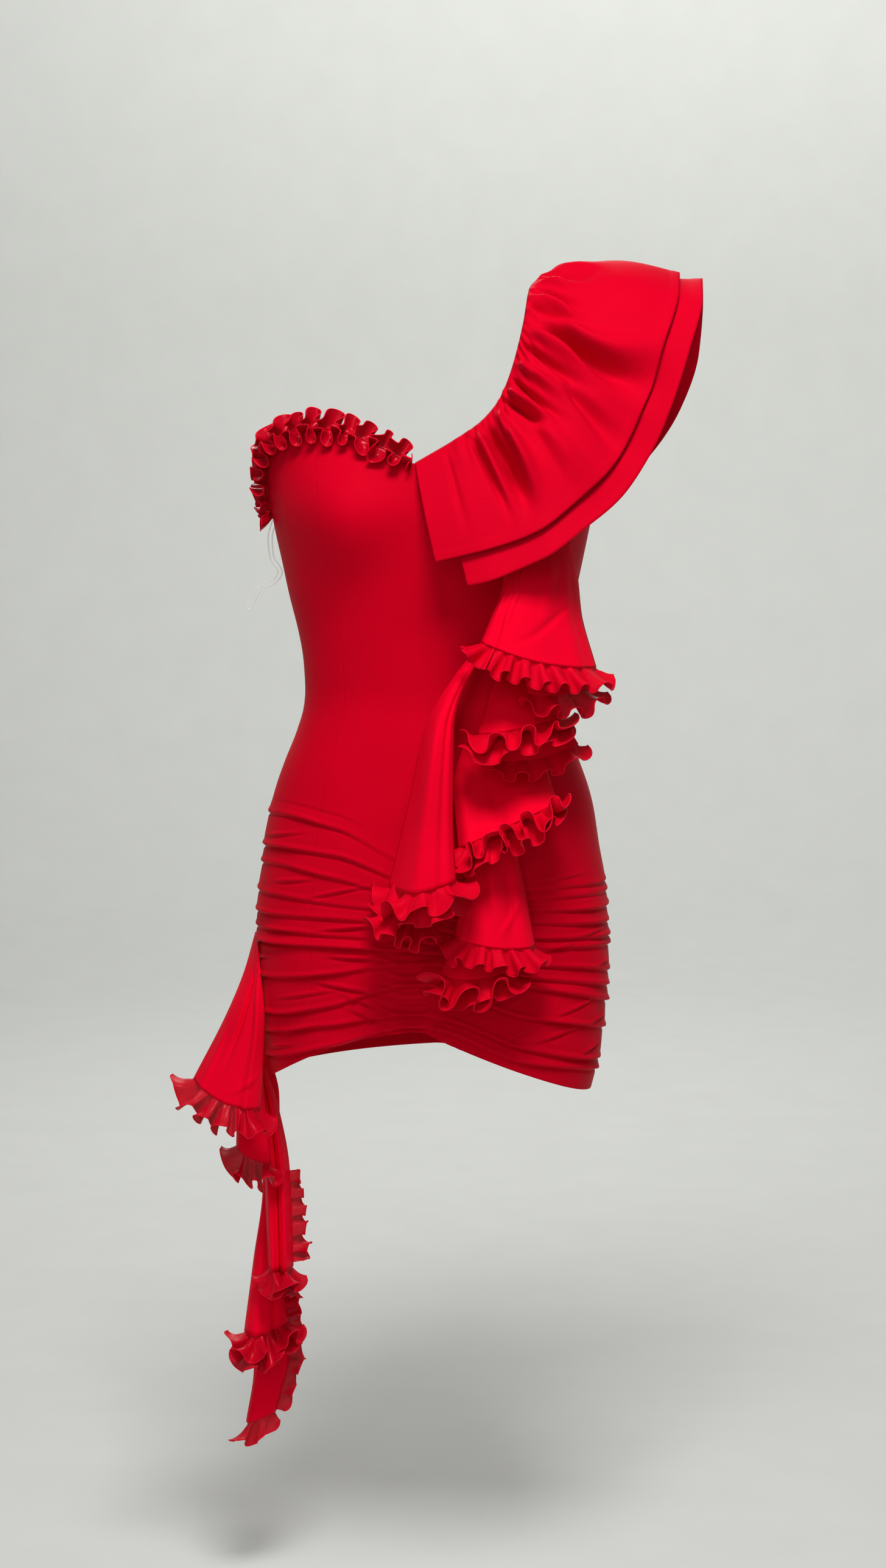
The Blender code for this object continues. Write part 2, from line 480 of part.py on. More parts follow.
def closed_wall(name, outer, inner, kept, colour=RED, roughness=0.5):
    """A wall between an outer grid and an inner grid that has only the kept rows of it."""
    rows, cols = outer.shape[:2]
    verts = np.concatenate([outer.reshape(-1, 3), inner.reshape(-1, 3)])
    start = rows * cols
    faces = [tuple(f) for f in grid_faces(outer).tolist()]
    faces += [tuple(f) for f in (grid_faces(outer[kept])[:, ::-1] + start).tolist()]
    for i, edge in ((0, 0), (len(kept) - 1, rows - 1)):
        for j in range(cols - 1):
            a, b = edge * cols + j, start + i * cols + j
            quad = (a, b, b + 1, a + 1)
            faces.append(quad if i == 0 else tuple(reversed(quad)))
    for j in (0, cols - 1):
        for i in range(len(kept) - 1):
            low, high = kept[i], kept[i + 1]
            middle = (low + high) // 2
            inside, above = start + i * cols + j, start + (i + 1) * cols + j
            strip = [(inside, (r + 1) * cols + j, r * cols + j) for r in range(low, middle)]
            strip += [(above, (r + 1) * cols + j, r * cols + j) for r in range(middle, high)]
            strip.append((inside, above, middle * cols + j))
            faces += [tuple(reversed(f)) for f in strip] if j == 0 else strip
    add_object(name, verts, faces, colour, roughness)


def even_wall(name, middle, thickness, colour=RED, roughness=0.5):
    """A wall of one thickness about a grid of middle points."""
    normal, mitre = grid_normals(middle)
    half = normal * mitre * thickness / 2
    closed_wall(name, middle + half, middle - half, list(range(len(middle))), colour, roughness)


def body_rings():
    """The body wall's outer grid and normals, one column for each angle, all the way round."""
    back_angle = BACK_TOP["angle"]
    angle = np.concatenate([FRONT_TOP["angle"], back_angle, [360.0]])
    top_x = np.concatenate([FRONT_TOP["x"], BACK_TOP["x"], FRONT_TOP["x"][:1]])
    top_drop = np.concatenate([FRONT_TOP["drop"], BACK_TOP["drop"], FRONT_TOP["drop"][:1]])
    count = len(FOLDS["front"])
    lines = [hem_drop(angle)]
    for k in reversed(range(count)):
        lines.append((lines[-1] + fold_drop(k, angle)) / 2)
        lines.append(fold_drop(k, angle))
    start = ruche_top_drop(angle)
    lines.append((lines[-1] + start) / 2)
    for left in np.linspace(1, 0, UPPER_ROWS):
        lines.append(top_drop + (start - top_drop) * left ** UPPER_SPACING)
    drop = np.array(lines)
    outline = {"angle": angle, "x": top_x, "drop": top_drop}
    wide = np.broadcast_to(angle, drop.shape)
    strap = column_x(wide, drop, outline, (0, SHOULDER_FRONT), (SWEETHEART_ANGLE, SHOULDER_FRONT))
    cup = column_x(wide, drop, outline, (180, PRINCESS_ANGLE), (SWEETHEART_ANGLE, PRINCESS_ANGLE))
    behind = column_x(wide, drop, outline, (360, SHOULDER_BACK), (180, SHOULDER_BACK))
    x = np.where(wide > 180, behind, np.where(wide > SWEETHEART_ANGLE, cup, strap))
    x[-1] = top_x
    side = np.where(angle <= 180, -1, 1)
    front, back = skin(x, drop, -1), skin(x, drop, 1)
    points = np.where((side < 0)[None, :, None], front, back)
    normal = figure_normals(points)
    for seam in (0, np.argmax(angle == 180), len(angle) - 1):
        normal[:, seam, 1] = 0
    crest = top_drop < shoulder_drop(top_x) + 1e-4
    normal[-1, crest] = (SHOULDER_SLOPE, 0.0, 1.0)
    normal = unit(normal)
    lift = ruche(np.broadcast_to(angle, drop.shape), drop)
    return angle, points, points + normal * lift[..., None], normal


def kept_rows(rows):
    """The rows that the plain inner wall shares: the hem, the valleys and the upper rows."""
    gathered = rows - UPPER_ROWS
    return [0] + list(range(1, gathered, 2)) + list(range(gathered, rows))


def panel(name, angle, plain, outer, normal, first, last):
    """A piece of the body between two angles, short of its neighbours by half a seam."""
    picked = np.where((angle >= first - 1e-6) & (angle <= last + 1e-6))[0]
    plain, outer, normal = plain[:, picked].copy(), outer[:, picked].copy(), normal[:, picked]
    for edge, step, seam in ((0, 1, first), (-1, -2, last)):
        if seam == PRINCESS_ANGLE:
            side = step if edge == 0 else -2
            along = unit(outer[:, side] - outer[:, edge]) * SEAM / 2
            outer[:, edge] += along
            plain[:, edge] += along
    kept = kept_rows(len(outer))
    inner = (plain - normal * JERSEY)[kept]
    closed_wall(name, outer, inner, kept)


def neckline(share):
    """Points of the ruffle's gathered edge on the cloth, the shoulder being halfway."""
    ahead = [(x, d, -1) for a, x, d in zip(FRONT_TOP["angle"], FRONT_TOP["x"], FRONT_TOP["drop"])
             if SHOULDER_FRONT <= a <= SWEETHEART_ANGLE][::-1]
    behind = [(x, d, 1) for a, x, d in zip(BACK_TOP["angle"], BACK_TOP["x"], BACK_TOP["drop"])
              if RUFFLE_BACK_ANGLE <= a <= SHOULDER_BACK][::-1]
    points = np.array([skin(x, d, s) for x, d, s in ahead + behind[1:]])
    points[len(ahead) - 1, 1] = 0.0
    length = np.concatenate([[0], np.cumsum(np.linalg.norm(np.diff(points, axis=0), axis=1))])
    middle = length[len(ahead) - 1]
    at = np.where(length <= middle, 0.5 * length / middle,
                  0.5 + 0.5 * (length - middle) / (length[-1] - middle))
    return np.stack([smooth(at, points[:, i], share) for i in range(3)], axis=-1)


def ruffle_lift(share, out):
    """Height of the gathers of the shoulder ruffle at a share along it and out from its seam."""
    lift = np.zeros_like(share)
    heights = np.array([RUFFLE_FOLDS[n] for n in ("seam", "inner", "outer", "edge")])
    for k, place in enumerate(RUFFLE_FOLDS["u"]):
        height = smooth(np.array([0.0, 0.34, 0.68, 1.0]), heights[:, k], out)
        near = np.abs(share - place) / RUFFLE_FOLDS["half"][k]
        lift = lift + height * np.cos(np.clip(near, 0, 1) * math.pi / 2) ** 2
    return lift


def ruffle_grid(first, last, outs, sink, gather):
    """Middle points of a layer of the shoulder ruffle, between two of its columns."""
    share, out = np.meshgrid(np.linspace(0, 1, RUFFLE_COLUMNS + 1)[first:last + 1], outs)
    seam = neckline(share)
    free = np.stack([table(RUFFLE_EDGE, "u", "x", share), table(RUFFLE_EDGE, "u", "y", share),
                     -table(RUFFLE_EDGE, "u", "drop", share)], axis=-1)
    flat = seam + (free - seam) * out[..., None]
    normal, _ = grid_normals(flat)
    normal = normal * np.sign(np.sum(normal * (flat - RUFFLE_HEART), axis=-1, keepdims=True))
    crown = RUFFLE_CROWN * np.sin(np.clip(out, 0, 1) * math.pi) * np.sin(share * math.pi) ** 2
    stand = 3 * SEAM + 1.5 * CREPE + RUFFLE_STAND + crown + gather * ruffle_lift(share, out)
    if sink > 0:
        stand = stand - CREPE - 2 * SEAM - sink * out
    return flat + normal * stand[..., None]


def curve_through(points, share):
    """A smooth curve through the points, at shares of its length."""
    points = np.asarray(points, float)
    length = np.concatenate([[0], np.cumsum(np.linalg.norm(np.diff(points, axis=0), axis=1))])
    return np.stack([smooth(length / length[-1], points[:, i], share)
                     for i in range(points.shape[1])], axis=-1)


def cloth_tree(outer):
    """The body wall's outer faces, to be searched for the points that lie on them."""
    return BVHTree.FromPolygons(outer.reshape(-1, 3).tolist(), grid_faces(outer).tolist())


def on_cloth(tree, start, towards, stand):
    """Where the lines from the start points reach the cloth, moved off it by a stand-off."""
    found = []
    for place in start:
        hit, normal, _, _ = tree.ray_cast(place.tolist(), towards)
        away = np.array(normal) * (1 if normal.dot(towards) < 0 else -1)
        found.append(np.array(hit) + away * stand)
    return np.array(found)


def seat_line(leaf, grids, tree):
    """The points of a leaf's top, laid on the body or under the leaf that carries it."""
    share = np.linspace(0, 1, LEAF_COLUMNS + 1)
    if "under" in leaf:
        carrier, down = leaf["under"]
        row = down * (LEAF_ROWS - 1e-6)
        low = int(row)
        grid = grids[carrier]
        line = grid[low] + (grid[low + 1] - grid[low]) * (row - low)
        return line + np.array([0, 1, 0]) * (CREPE + 2 * SEAM)
    if "seat" in leaf:
        x0, drop0, x1, drop1 = leaf["seat"]
        start = np.stack([x0 + (x1 - x0) * share, np.full_like(share, -1.0),
                          -drop0 - (drop1 - drop0) * share], axis=-1)
        return on_cloth(tree, start, (0.0, 1.0, 0.0), SEAM + 0.75 * CREPE)
    y0, y1, drop = leaf["side_seat"]
    start = np.stack([np.full_like(share, -1.0), y0 + (y1 - y0) * share,
                      np.full_like(share, -drop)], axis=-1)
    return on_cloth(tree, start, (1.0, 0.0, 0.0), SEAM + 0.75 * CREPE)


def leaf_grid(leaf, grids, tree):
    """Middle points of a hanging leaf of cloth, from its seat down to its free edge."""
    rows = np.array(leaf["rows"])
    share = np.linspace(0, 1, LEAF_COLUMNS + 1)
    left = rows[:, 0:3] * np.array([1, 1, -1])
    right = rows[:, 3:6] * np.array([1, 1, -1])
    lines = left[:, None] + (right - left)[:, None] * share[None, :, None]
    arch = np.sin(math.pi * share)[None, :]
    lines[..., 1] -= rows[:, 6:7] * arch
    lines[..., 2] -= rows[:, 7:8] * arch
    lines = np.concatenate([seat_line(leaf, grids, tree)[None], lines])
    middle = lines[:, LEAF_COLUMNS // 2]
    length = np.concatenate([[0], np.cumsum(np.linalg.norm(np.diff(middle, axis=0), axis=1))])
    down = np.linspace(0, 1, LEAF_ROWS + 1)
    grid = np.empty((LEAF_ROWS + 1, LEAF_COLUMNS + 1, 3))
    for j in range(LEAF_COLUMNS + 1):
        for i in range(3):
            grid[:, j, i] = smooth(length / length[-1], lines[:, j, i], down)
    room = np.linalg.norm(grid[:, -1] - grid[:, 0], axis=-1) / FOLD_ROOM
    height = leaf["depth"] * ramp(down * 1.4) * np.clip(room, 0, 1)
    grid[..., 1] -= height[:, None] * np.sin(2 * math.pi * leaf["folds"] * share)
    return grid


def frill_strip(path, out, normal, waves, widths, height, lean, spread, seed):
    """Middle points of a gathered frill along a path, one row at its seam and one at its edge.

    point = path + width * (out + lean * normal) + height * sin(phase) * normal, and the ends
    spread along the path.
    """
    steps = waves * WAVE_STEPS
    share = np.linspace(0, 1, steps + 1)
    draw = np.random.default_rng(seed)
    uneven = 1 + UNEVEN * draw.uniform(-1, 1, waves + 1)[(np.arange(steps + 1) + 1) // WAVE_STEPS]
    phase = np.sin(share * waves * 2 * math.pi)
    along = unit(np.gradient(path, axis=0))
    width = widths[0] + (widths[1] - widths[0]) * share
    stretch = spread * np.sign(share - 0.5) * np.abs(2 * share - 1) ** 1.5
    seam = path + normal * (SEAM_WAVE * phase)[:, None]
    edge = path + (out + normal * lean) * width[:, None] + along * stretch[:, None]
    edge = edge + normal * (height * uneven * phase)[:, None]
    return np.stack([seam, edge])


def leaf_path(grid, edge, first, last, steps):
    """A stretch of a leaf's edge, with its outward and normal directions, along its facets."""
    normal, _ = grid_normals(grid)
    normal = normal * np.sign(-normal[..., 1:2] + 1e-9)
    if edge == "edge":
        line, before, face = grid[-1], grid[-2], normal[-1]
    else:
        line, before, face = grid[:, -1], grid[:, -2], normal[:, -1]
    out = unit(line - before)
    at = np.linspace(0, 1, len(line))
    share = np.linspace(first, last, steps + 1)
    pick = [np.stack([np.interp(share, at, v[:, i]) for i in range(3)], axis=-1)
            for v in (line, out, face)]
    out, face = unit(pick[1]), unit(pick[2])
    return pick[0] + out * SEAM * 1.3, out, face


def neck_frills(angle, outer, normal):
    """The two gathered rows along the right neckline, one standing up and one falling."""
    chosen = (angle >= SWEETHEART_ANGLE) & (angle <= 180)
    rim, face = outer[-1, chosen], normal[-1, chosen]
    steps = NECK_WAVES * WAVE_STEPS
    share = np.linspace(NECK_SPAN[0], NECK_SPAN[1], steps + 1)
    at = np.concatenate([[0], np.cumsum(np.linalg.norm(np.diff(rim, axis=0), axis=1))])
    at = at / at[-1]
    path, face = (np.stack([np.interp(share, at, v[:, i]) for i in range(3)], axis=-1)
                  for v in (rim, face))
    along = unit(np.gradient(path, axis=0))
    face = unit(face - along * np.sum(face * along, axis=-1, keepdims=True))
    away = np.cross(along, face)
    away = away * np.sign(np.sum(away * (path - CUP_CENTRE), axis=-1, keepdims=True))
    stand = unit(away + NECK_STAND_LEAN * face)
    high = frill_strip(path - face * JERSEY / 2 + away * SEAM * 1.6, stand,
                       unit(face - NECK_STAND_LEAN * away), NECK_WAVES,
                       (NECK_STAND, NECK_STAND), NECK_WAVE, 0.0, 0.0, 11)
    fall = unit(NECK_FALL_OUT * face - NECK_FALL_DOWN * away)
    root = path - away * NECK_SEAT + face * (2 * SEAM + ORGANZA + SEAM_WAVE)
    low = frill_strip(root, fall, unit(NECK_FALL_DOWN * face + NECK_FALL_OUT * away),
                      NECK_WAVES, (NECK_FALL, NECK_FALL), NECK_WAVE, 0.0, 0.0, 12)
    even_wall("neck_frill_upper", high, ORGANZA, FRILL_RED, 0.35)
    even_wall("neck_frill_lower", low, ORGANZA, FRILL_RED, 0.35)


def hanger_tape(tree):
    """A clear tape folded into a narrow hanging loop, sewn on at the top of the right side."""
    stand = 1.5 * SEAM + (TAPE_WALL + TAPE_GAP) / 2
    seat = on_cloth(tree, np.array([[-1.0, TAPE_Y, -TAPE_SEAT]]), (1.0, 0.0, 0.0), stand)[0]
    down = curve_through([(seat[0], -seat[2])] + TAPE_PATH, np.linspace(0, 1, 10))
    along = unit(np.gradient(down, axis=0))
    across = np.stack([along[:, 1], -along[:, 0]], axis=-1)
    near, far = down + across * TAPE_GAP / 2, down - across * TAPE_GAP / 2
    tip = down[-1] + along[-1] * TAPE_GAP / 2
    loop = np.concatenate([near, tip[None], far[::-1]])
    places = np.stack([loop[:, 0], np.full(len(loop), TAPE_Y), -loop[:, 1]], axis=-1)
    side = np.array([0, TAPE_WIDTH / 2, 0])
    even_wall("hanger_tape", np.stack([places - side, places + side]), TAPE_WALL, CLEAR, 0.1)


def build():
    """Every piece of the dress."""
    for old in list(bpy.data.objects):
        bpy.data.objects.remove(old)
    angle, plain, outer, normal = body_rings()
    panel("front_panel", angle, plain, outer, normal, 0, PRINCESS_ANGLE)
    panel("side_front_panel", angle, plain, outer, normal, PRINCESS_ANGLE, 180)
    # The back's first column is the right seam's, mirrored behind it.
    behind = np.concatenate([[np.argmax(angle == 180)], np.where(angle > 180)[0]])
    mirror = np.array([1.0, -1.0, 1.0])
    back = []
    for grid in (plain, outer, normal):
        part = grid[:, behind].copy()
        part[:, 0] = part[:, 0] * mirror
        back.append(part)
    kept = kept_rows(len(outer))
    closed_wall("back_panel", back[1], (back[0] - back[2] * JERSEY)[kept], kept)

    upper = ruffle_grid(0, RUFFLE_COLUMNS, RUFFLE_OUT, 0.0, 1.0)
    under = ruffle_grid(UNDER_TRIM, RUFFLE_COLUMNS - UNDER_TRIM, UNDER_OUT, UNDER_SINK,
                        UNDER_GATHER)
    even_wall("shoulder_ruffle_upper", upper, CREPE)
    even_wall("shoulder_ruffle_under", under, CREPE)

    grids = {}
    tree = cloth_tree(outer)
    for name, leaf in {**FRONT_LEAVES, **TAIL_LEAVES}.items():
        grids[name] = leaf_grid(leaf, grids, tree)
        even_wall(name, grids[name], CREPE)
    for seed, (name, row) in enumerate(FRILLS.items()):
        carrier, edge, first, last, waves, wide0, wide1, height, lean, spread = row
        path, out, face = leaf_path(grids[carrier], edge, first, last, waves * WAVE_STEPS)
        strip = frill_strip(path, out, face, waves, (wide0, wide1), height, lean, spread, seed)
        even_wall(name, strip, ORGANZA, FRILL_RED, 0.35)
    neck_frills(angle, outer, normal)
    hanger_tape(tree)


build()
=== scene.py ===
"""Looks of a one-shoulder ruffled mini dress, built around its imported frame.

Sizes are worked out in the figure's frame, as in the solids: x across (the wearer's left is +),
y from front (-) to back (+), and a drop measured down from the neck end of the shoulder line.
The part's origin is the point of the left shoulder, so every mesh is moved there at the end.
"""

import math

import bpy
import numpy as np
from bpy.props import FloatProperty, FloatVectorProperty, PointerProperty
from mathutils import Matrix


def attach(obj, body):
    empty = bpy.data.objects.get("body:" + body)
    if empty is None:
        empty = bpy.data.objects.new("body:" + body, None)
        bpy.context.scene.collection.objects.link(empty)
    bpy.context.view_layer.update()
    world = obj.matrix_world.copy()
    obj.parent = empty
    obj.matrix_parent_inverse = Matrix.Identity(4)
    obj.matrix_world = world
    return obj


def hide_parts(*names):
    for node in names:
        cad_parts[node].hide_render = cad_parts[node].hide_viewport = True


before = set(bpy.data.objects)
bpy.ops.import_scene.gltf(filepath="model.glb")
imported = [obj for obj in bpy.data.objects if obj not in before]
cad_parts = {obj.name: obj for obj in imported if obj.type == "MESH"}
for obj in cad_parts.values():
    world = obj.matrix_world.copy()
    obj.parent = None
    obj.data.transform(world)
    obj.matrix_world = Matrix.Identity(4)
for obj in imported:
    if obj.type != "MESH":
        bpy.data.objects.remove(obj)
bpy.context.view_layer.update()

bl_info = {
    "name": "One-shoulder ruffled dress",
    "version": (1, 0, 0),
    "blender": (4, 5, 0),
    "location": "3D View > Sidebar > Dress",
    "description": "Sewn cloth, frills, finishes and stage of a one-shoulder mini dress",
    "category": "Object",
}

# The part's origin in the figure's frame, the gap left at a seam, and how square a section is.
SHOULDER = np.array([0.130, 0.0, -0.0156])
SEAM = 0.0003
SECTION_POWER = 2.2


def columns(names, rows):
    """A short table as one array for each named column."""
    return dict(zip(names.split(), np.array(rows, dtype=float).T))


# The figure under the cloth: half width, and depth to the front and to the back.
BODY = columns("drop half front back", [
    (-0.02, 0.1950, 0.080, 0.085), (0.05, 0.1910, 0.086, 0.094), (0.10, 0.1840, 0.091, 0.100),
    (0.15, 0.1760, 0.096, 0.101), (0.20, 0.1660, 0.103, 0.099), (0.237, 0.1585, 0.107, 0.096),
    (0.268, 0.1520, 0.105, 0.094), (0.300, 0.1455, 0.101, 0.090), (0.346, 0.1340, 0.095, 0.087),
    (0.386, 0.1275, 0.092, 0.085), (0.409, 0.1260, 0.091, 0.085), (0.4245, 0.1275, 0.092, 0.087),
    (0.4485, 0.1350, 0.096, 0.093), (0.4795, 0.1480, 0.101, 0.100), (0.503, 0.1560, 0.104, 0.106),
    (0.535, 0.1635, 0.107, 0.115), (0.582, 0.1705, 0.109, 0.124), (0.622, 0.1750, 0.108, 0.128),
    (0.662, 0.1765, 0.107, 0.127), (0.702, 0.1760, 0.105, 0.120), (0.742, 0.1730, 0.103, 0.113),
    (0.782, 0.1670, 0.101, 0.106), (0.820, 0.1580, 0.098, 0.100),
])
# The middle of the body; the place, spread and depth of the cup's bell; and the shoulder line:
# where it starts to slope, its drop there, its slope, and the drop over which it is rounded.
BODY_HEART = np.array([0.0, 0.0, -0.4])
CUP_X, CUP_DROP, CUP_SPREAD, CUP_DEPTH = 0.083, 0.235, 0.052, 0.024
SHOULDER_END, SHOULDER_DROP, SHOULDER_SLOPE, SHOULDER_ROUND = 0.099, 0.005, 0.34, 0.07
# The drop of the hem at four places, the power it falls by on each side of its peak, and the
# drop at which the gathered skirt starts, with the rows of the body's grids above and below it.
HEM = {"right": 0.798, "front": 0.737, "left": 0.808, "back": 0.786}
FRONT_EASE = {"right": 1.7, "left": 0.8}
RUCHE_TOP = 0.500
UPPER_ROWS, SKIRT_ROWS = 60, 280
# The columns beside a seam are closer together, at these degrees from it, and the jersey was
# cut this much smaller than the body it is stretched over.
NEAR_SEAM = np.array([0.0, 0.25, 0.55, 0.95])
KNIT_GIVE = 1.04

# The upper outline of the front and of the back, by the angle of a column round the waist:
# 0 at the wearer's left seam, 90 in front, 180 at the right seam and 270 behind.
FRONT_TOP = columns("angle x drop", [
    (0, 0.1585, 0.237), (7, 0.1596, 0.222), (14, 0.1591, 0.195), (21, 0.1569, 0.155),
    (28, 0.1545, 0.105), (34, 0.1600, 0.062), (40, 0.1650, 0.0274), (48, 0.1350, 0.0172),
    (56, 0.1050, 0.0070), (59, 0.0970, 0.0180),
    (62, 0.0930, 0.050), (67, 0.0840, 0.092), (72, 0.0720, 0.124), (78, 0.0550, 0.146),
    (84, 0.0300, 0.164), (92.3, -0.0091, 0.187), (100, -0.0310, 0.1755), (108, -0.0540, 0.1650),
    (118, -0.0800, 0.1555), (128, -0.1040, 0.1515), (137, -0.1220, 0.1520),
    (146, -0.1390, 0.1560), (155, -0.1520, 0.1640), (164, -0.1600, 0.1790),
    (172, -0.1620, 0.2050), (180, -0.1585, 0.237),
])
BACK_TOP = columns("angle x drop", [
    (180, -0.1585, 0.237),
    (191, -0.1560, 0.2368), (206, -0.1430, 0.2360), (224, -0.1140, 0.2340),
    (242, -0.0760, 0.2290), (257, -0.0380, 0.2190), (268, -0.0060, 0.2030),
    (277, 0.0230, 0.185), (285, 0.0480, 0.164), (292, 0.0680, 0.138), (298, 0.0820, 0.104),
    (303, 0.0920, 0.058), (305.5, 0.0970, 0.0180), (308, 0.1050, 0.0070), (315, 0.1350, 0.0172),
    (322, 0.1650, 0.0274), (328.5, 0.1625, 0.062), (335, 0.1590, 0.105),
    (342, 0.1609, 0.155), (348, 0.1601, 0.195), (354, 0.1597, 0.222), (360, 0.1585, 0.237),
])
# The angles of the neckline's lowest point, of the seam over the cup, of the shoulder's end in
# front and behind, and of the ruffle's end behind.
SWEETHEART, PRINCESS, SHOULDER_FRONT, SHOULDER_BACK = 92.3, 128.0, 56.0, 308.0
RUFFLE_BACK = 268.0
# The panels: the angles between which each lies, its columns, its upper outline and its side.
PANELS = {
    "front_panel": (0.0, PRINCESS, 112, FRONT_TOP, -1),
    "side_front_panel": (PRINCESS, 180.0, 46, FRONT_TOP, -1),
    "back_panel": (180.0, 360.0, 128, BACK_TOP, 1),
}

# The gathers of the skirt: the drop of each fold at seven angles round the front, from the right
# seam (180) past the front (92) to the left one (0), and how proud it stands at five angles.
FOLD_ANGLES = np.array([0.0, 30.0, 60.0, 92.0, 120.0, 150.0, 180.0])
FOLDS = columns("r180 r150 r120 front l60 l30 l0 high180 high135 high92 high45 high0", [
    (0.515, 0.515, 0.524, 0.560, 0.596, 0.596, 0.597, 0.0000, 0.0004, 0.0000, 0.0012, 0.0014),
    (0.530, 0.528, 0.538, 0.575, 0.605, 0.606, 0.607, 0.0012, 0.0018, 0.0004, 0.0010, 0.0014),
    (0.563, 0.560, 0.564, 0.592, 0.616, 0.620, 0.622, 0.0022, 0.0024, 0.0006, 0.0016, 0.0022),
    (0.580, 0.577, 0.586, 0.606, 0.628, 0.634, 0.638, 0.0014, 0.0018, 0.0006, 0.0016, 0.0022),
    (0.607, 0.607, 0.612, 0.618, 0.643, 0.648, 0.652, 0.0018, 0.0014, 0.0006, 0.0018, 0.0022),
    (0.628, 0.627, 0.626, 0.631, 0.653, 0.657, 0.661, 0.0024, 0.0018, 0.0006, 0.0014, 0.0020),
    (0.644, 0.642, 0.643, 0.646, 0.669, 0.678, 0.688, 0.0014, 0.0014, 0.0010, 0.0018, 0.0022),
    (0.658, 0.656, 0.654, 0.656, 0.681, 0.693, 0.703, 0.0032, 0.0032, 0.0020, 0.0018, 0.0024),
    (0.693, 0.690, 0.681, 0.668, 0.690, 0.706, 0.719, 0.0030, 0.0024, 0.0014, 0.0022, 0.0026),
    (0.729, 0.727, 0.713, 0.689, 0.721, 0.735, 0.746, 0.0028, 0.0026, 0.0016, 0.0024, 0.0024),
    (0.750, 0.745, 0.732, 0.719, 0.752, 0.769, 0.777, 0.0026, 0.0020, 0.0018, 0.0026, 0.0024),
    (0.776, 0.770, 0.752, 0.731, 0.766, 0.779, 0.788, 0.0028, 0.0022, 0.0016, 0.0020, 0.0022),
])
# Small folds that fade at both ends: centre angle, half its length in degrees, its drop there,
# how much the drop grows over half its length, its height and its half width.
SHORT_FOLDS = columns("angle half drop rise height wide", [
    (150, 22, 0.548, 0.006, 0.0010, 0.0030), (118, 16, 0.600, 0.010, 0.0010, 0.0030),
    (160, 14, 0.672, 0.004, 0.0012, 0.0034), (132, 20, 0.704, 0.010, 0.0010, 0.0034),
    (168, 10, 0.712, 0.002, 0.0012, 0.0030), (108, 12, 0.708, -0.012, 0.0010, 0.0030),
    (150, 16, 0.760, 0.006, 0.0010, 0.0028), (40, 18, 0.586, 0.002, 0.0008, 0.0030),
    (26, 18, 0.644, 0.004, 0.0010, 0.0028), (34, 18, 0.716, 0.010, 0.0012, 0.0030),
    (20, 16, 0.760, 0.008, 0.0012, 0.0030), (60, 14, 0.738, 0.014, 0.0010, 0.0030),
    (212, 20, 0.560, 0.006, 0.0010, 0.0032), (236, 18, 0.640, 0.006, 0.0010, 0.0032),
    (216, 16, 0.716, 0.004, 0.0012, 0.0032), (262, 16, 0.676, -0.004, 0.0008, 0.0034),
    (300, 18, 0.610, -0.004, 0.0010, 0.0032), (322, 18, 0.690, -0.006, 0.0012, 0.0032),
    (288, 16, 0.744, -0.002, 0.0010, 0.0032), (338, 14, 0.734, -0.006, 0.0012, 0.0030),
    (112, 17, 0.634, 0.006, 0.0014, 0.0030), (110, 15, 0.664, 0.000, 0.0014, 0.0030),
    (114, 18, 0.694, -0.006, 0.0014, 0.0032), (106, 11, 0.722, -0.012, 0.0013, 0.0030),
    (140, 16, 0.592, 0.004, 0.0012, 0.0034), (146, 18, 0.642, 0.002, 0.0013, 0.0032),
    (164, 14, 0.742, 0.002, 0.0013, 0.0032), (134, 15, 0.738, 0.010, 0.0012, 0.0030),
    (66, 16, 0.672, 0.012, 0.0013, 0.0032), (70, 14, 0.706, 0.014, 0.0013, 0.0030),
    (48, 16, 0.656, 0.006, 0.0012, 0.0034), (44, 18, 0.742, 0.010, 0.0013, 0.0030),
    (14, 12, 0.676, 0.002, 0.0012, 0.0030), (16, 14, 0.732, 0.004, 0.0013, 0.0030),
])

# The section of a long fold: its ridge reaches further above the crest than below it, a groove
# lies under the crest, and the cloth above swells up to it. Heights are shares of the fold's own.
RIDGE_ABOVE, RIDGE_BELOW, RIDGE_HIGH = 0.0052, 0.0026, 0.85
GROOVE_BELOW, GROOVE_HALF, GROOVE_DEEP = 0.0032, 0.0024, 0.85
SWELL_SHARE, SWELL_END, SWELL_HIGH, FIRST_SWELL = 0.92, 0.0030, 0.75, 0.034
# A short fold has its groove a little lower, and is deeper near the gather line.
SHORT_GROOVE_BELOW, SHORT_GROOVE_DEEP = 0.0034, 0.9
SHORT_DEEP, SHORT_DEEPER, DEEPER_DEGREES = 1.4, 0.7, 24
# The gather line in front: its angle and half width in degrees, its depth, the drop at which it
# starts and the run over which it grows; and the puckers beside it.
GATHER_LINE, GATHER_HALF, GATHER_DEEP, GATHER_TOP, GATHER_RUN = 94.0, 2.0, 0.0034, 0.625, 0.03
PUCKER_HIGH, PUCKER_TOP, PUCKER_PITCH, FINE_PITCH = 0.0011, 0.64, 0.0098, 0.0061
PUCKER_REACH = {"left": 6.5, "right": 5.0}

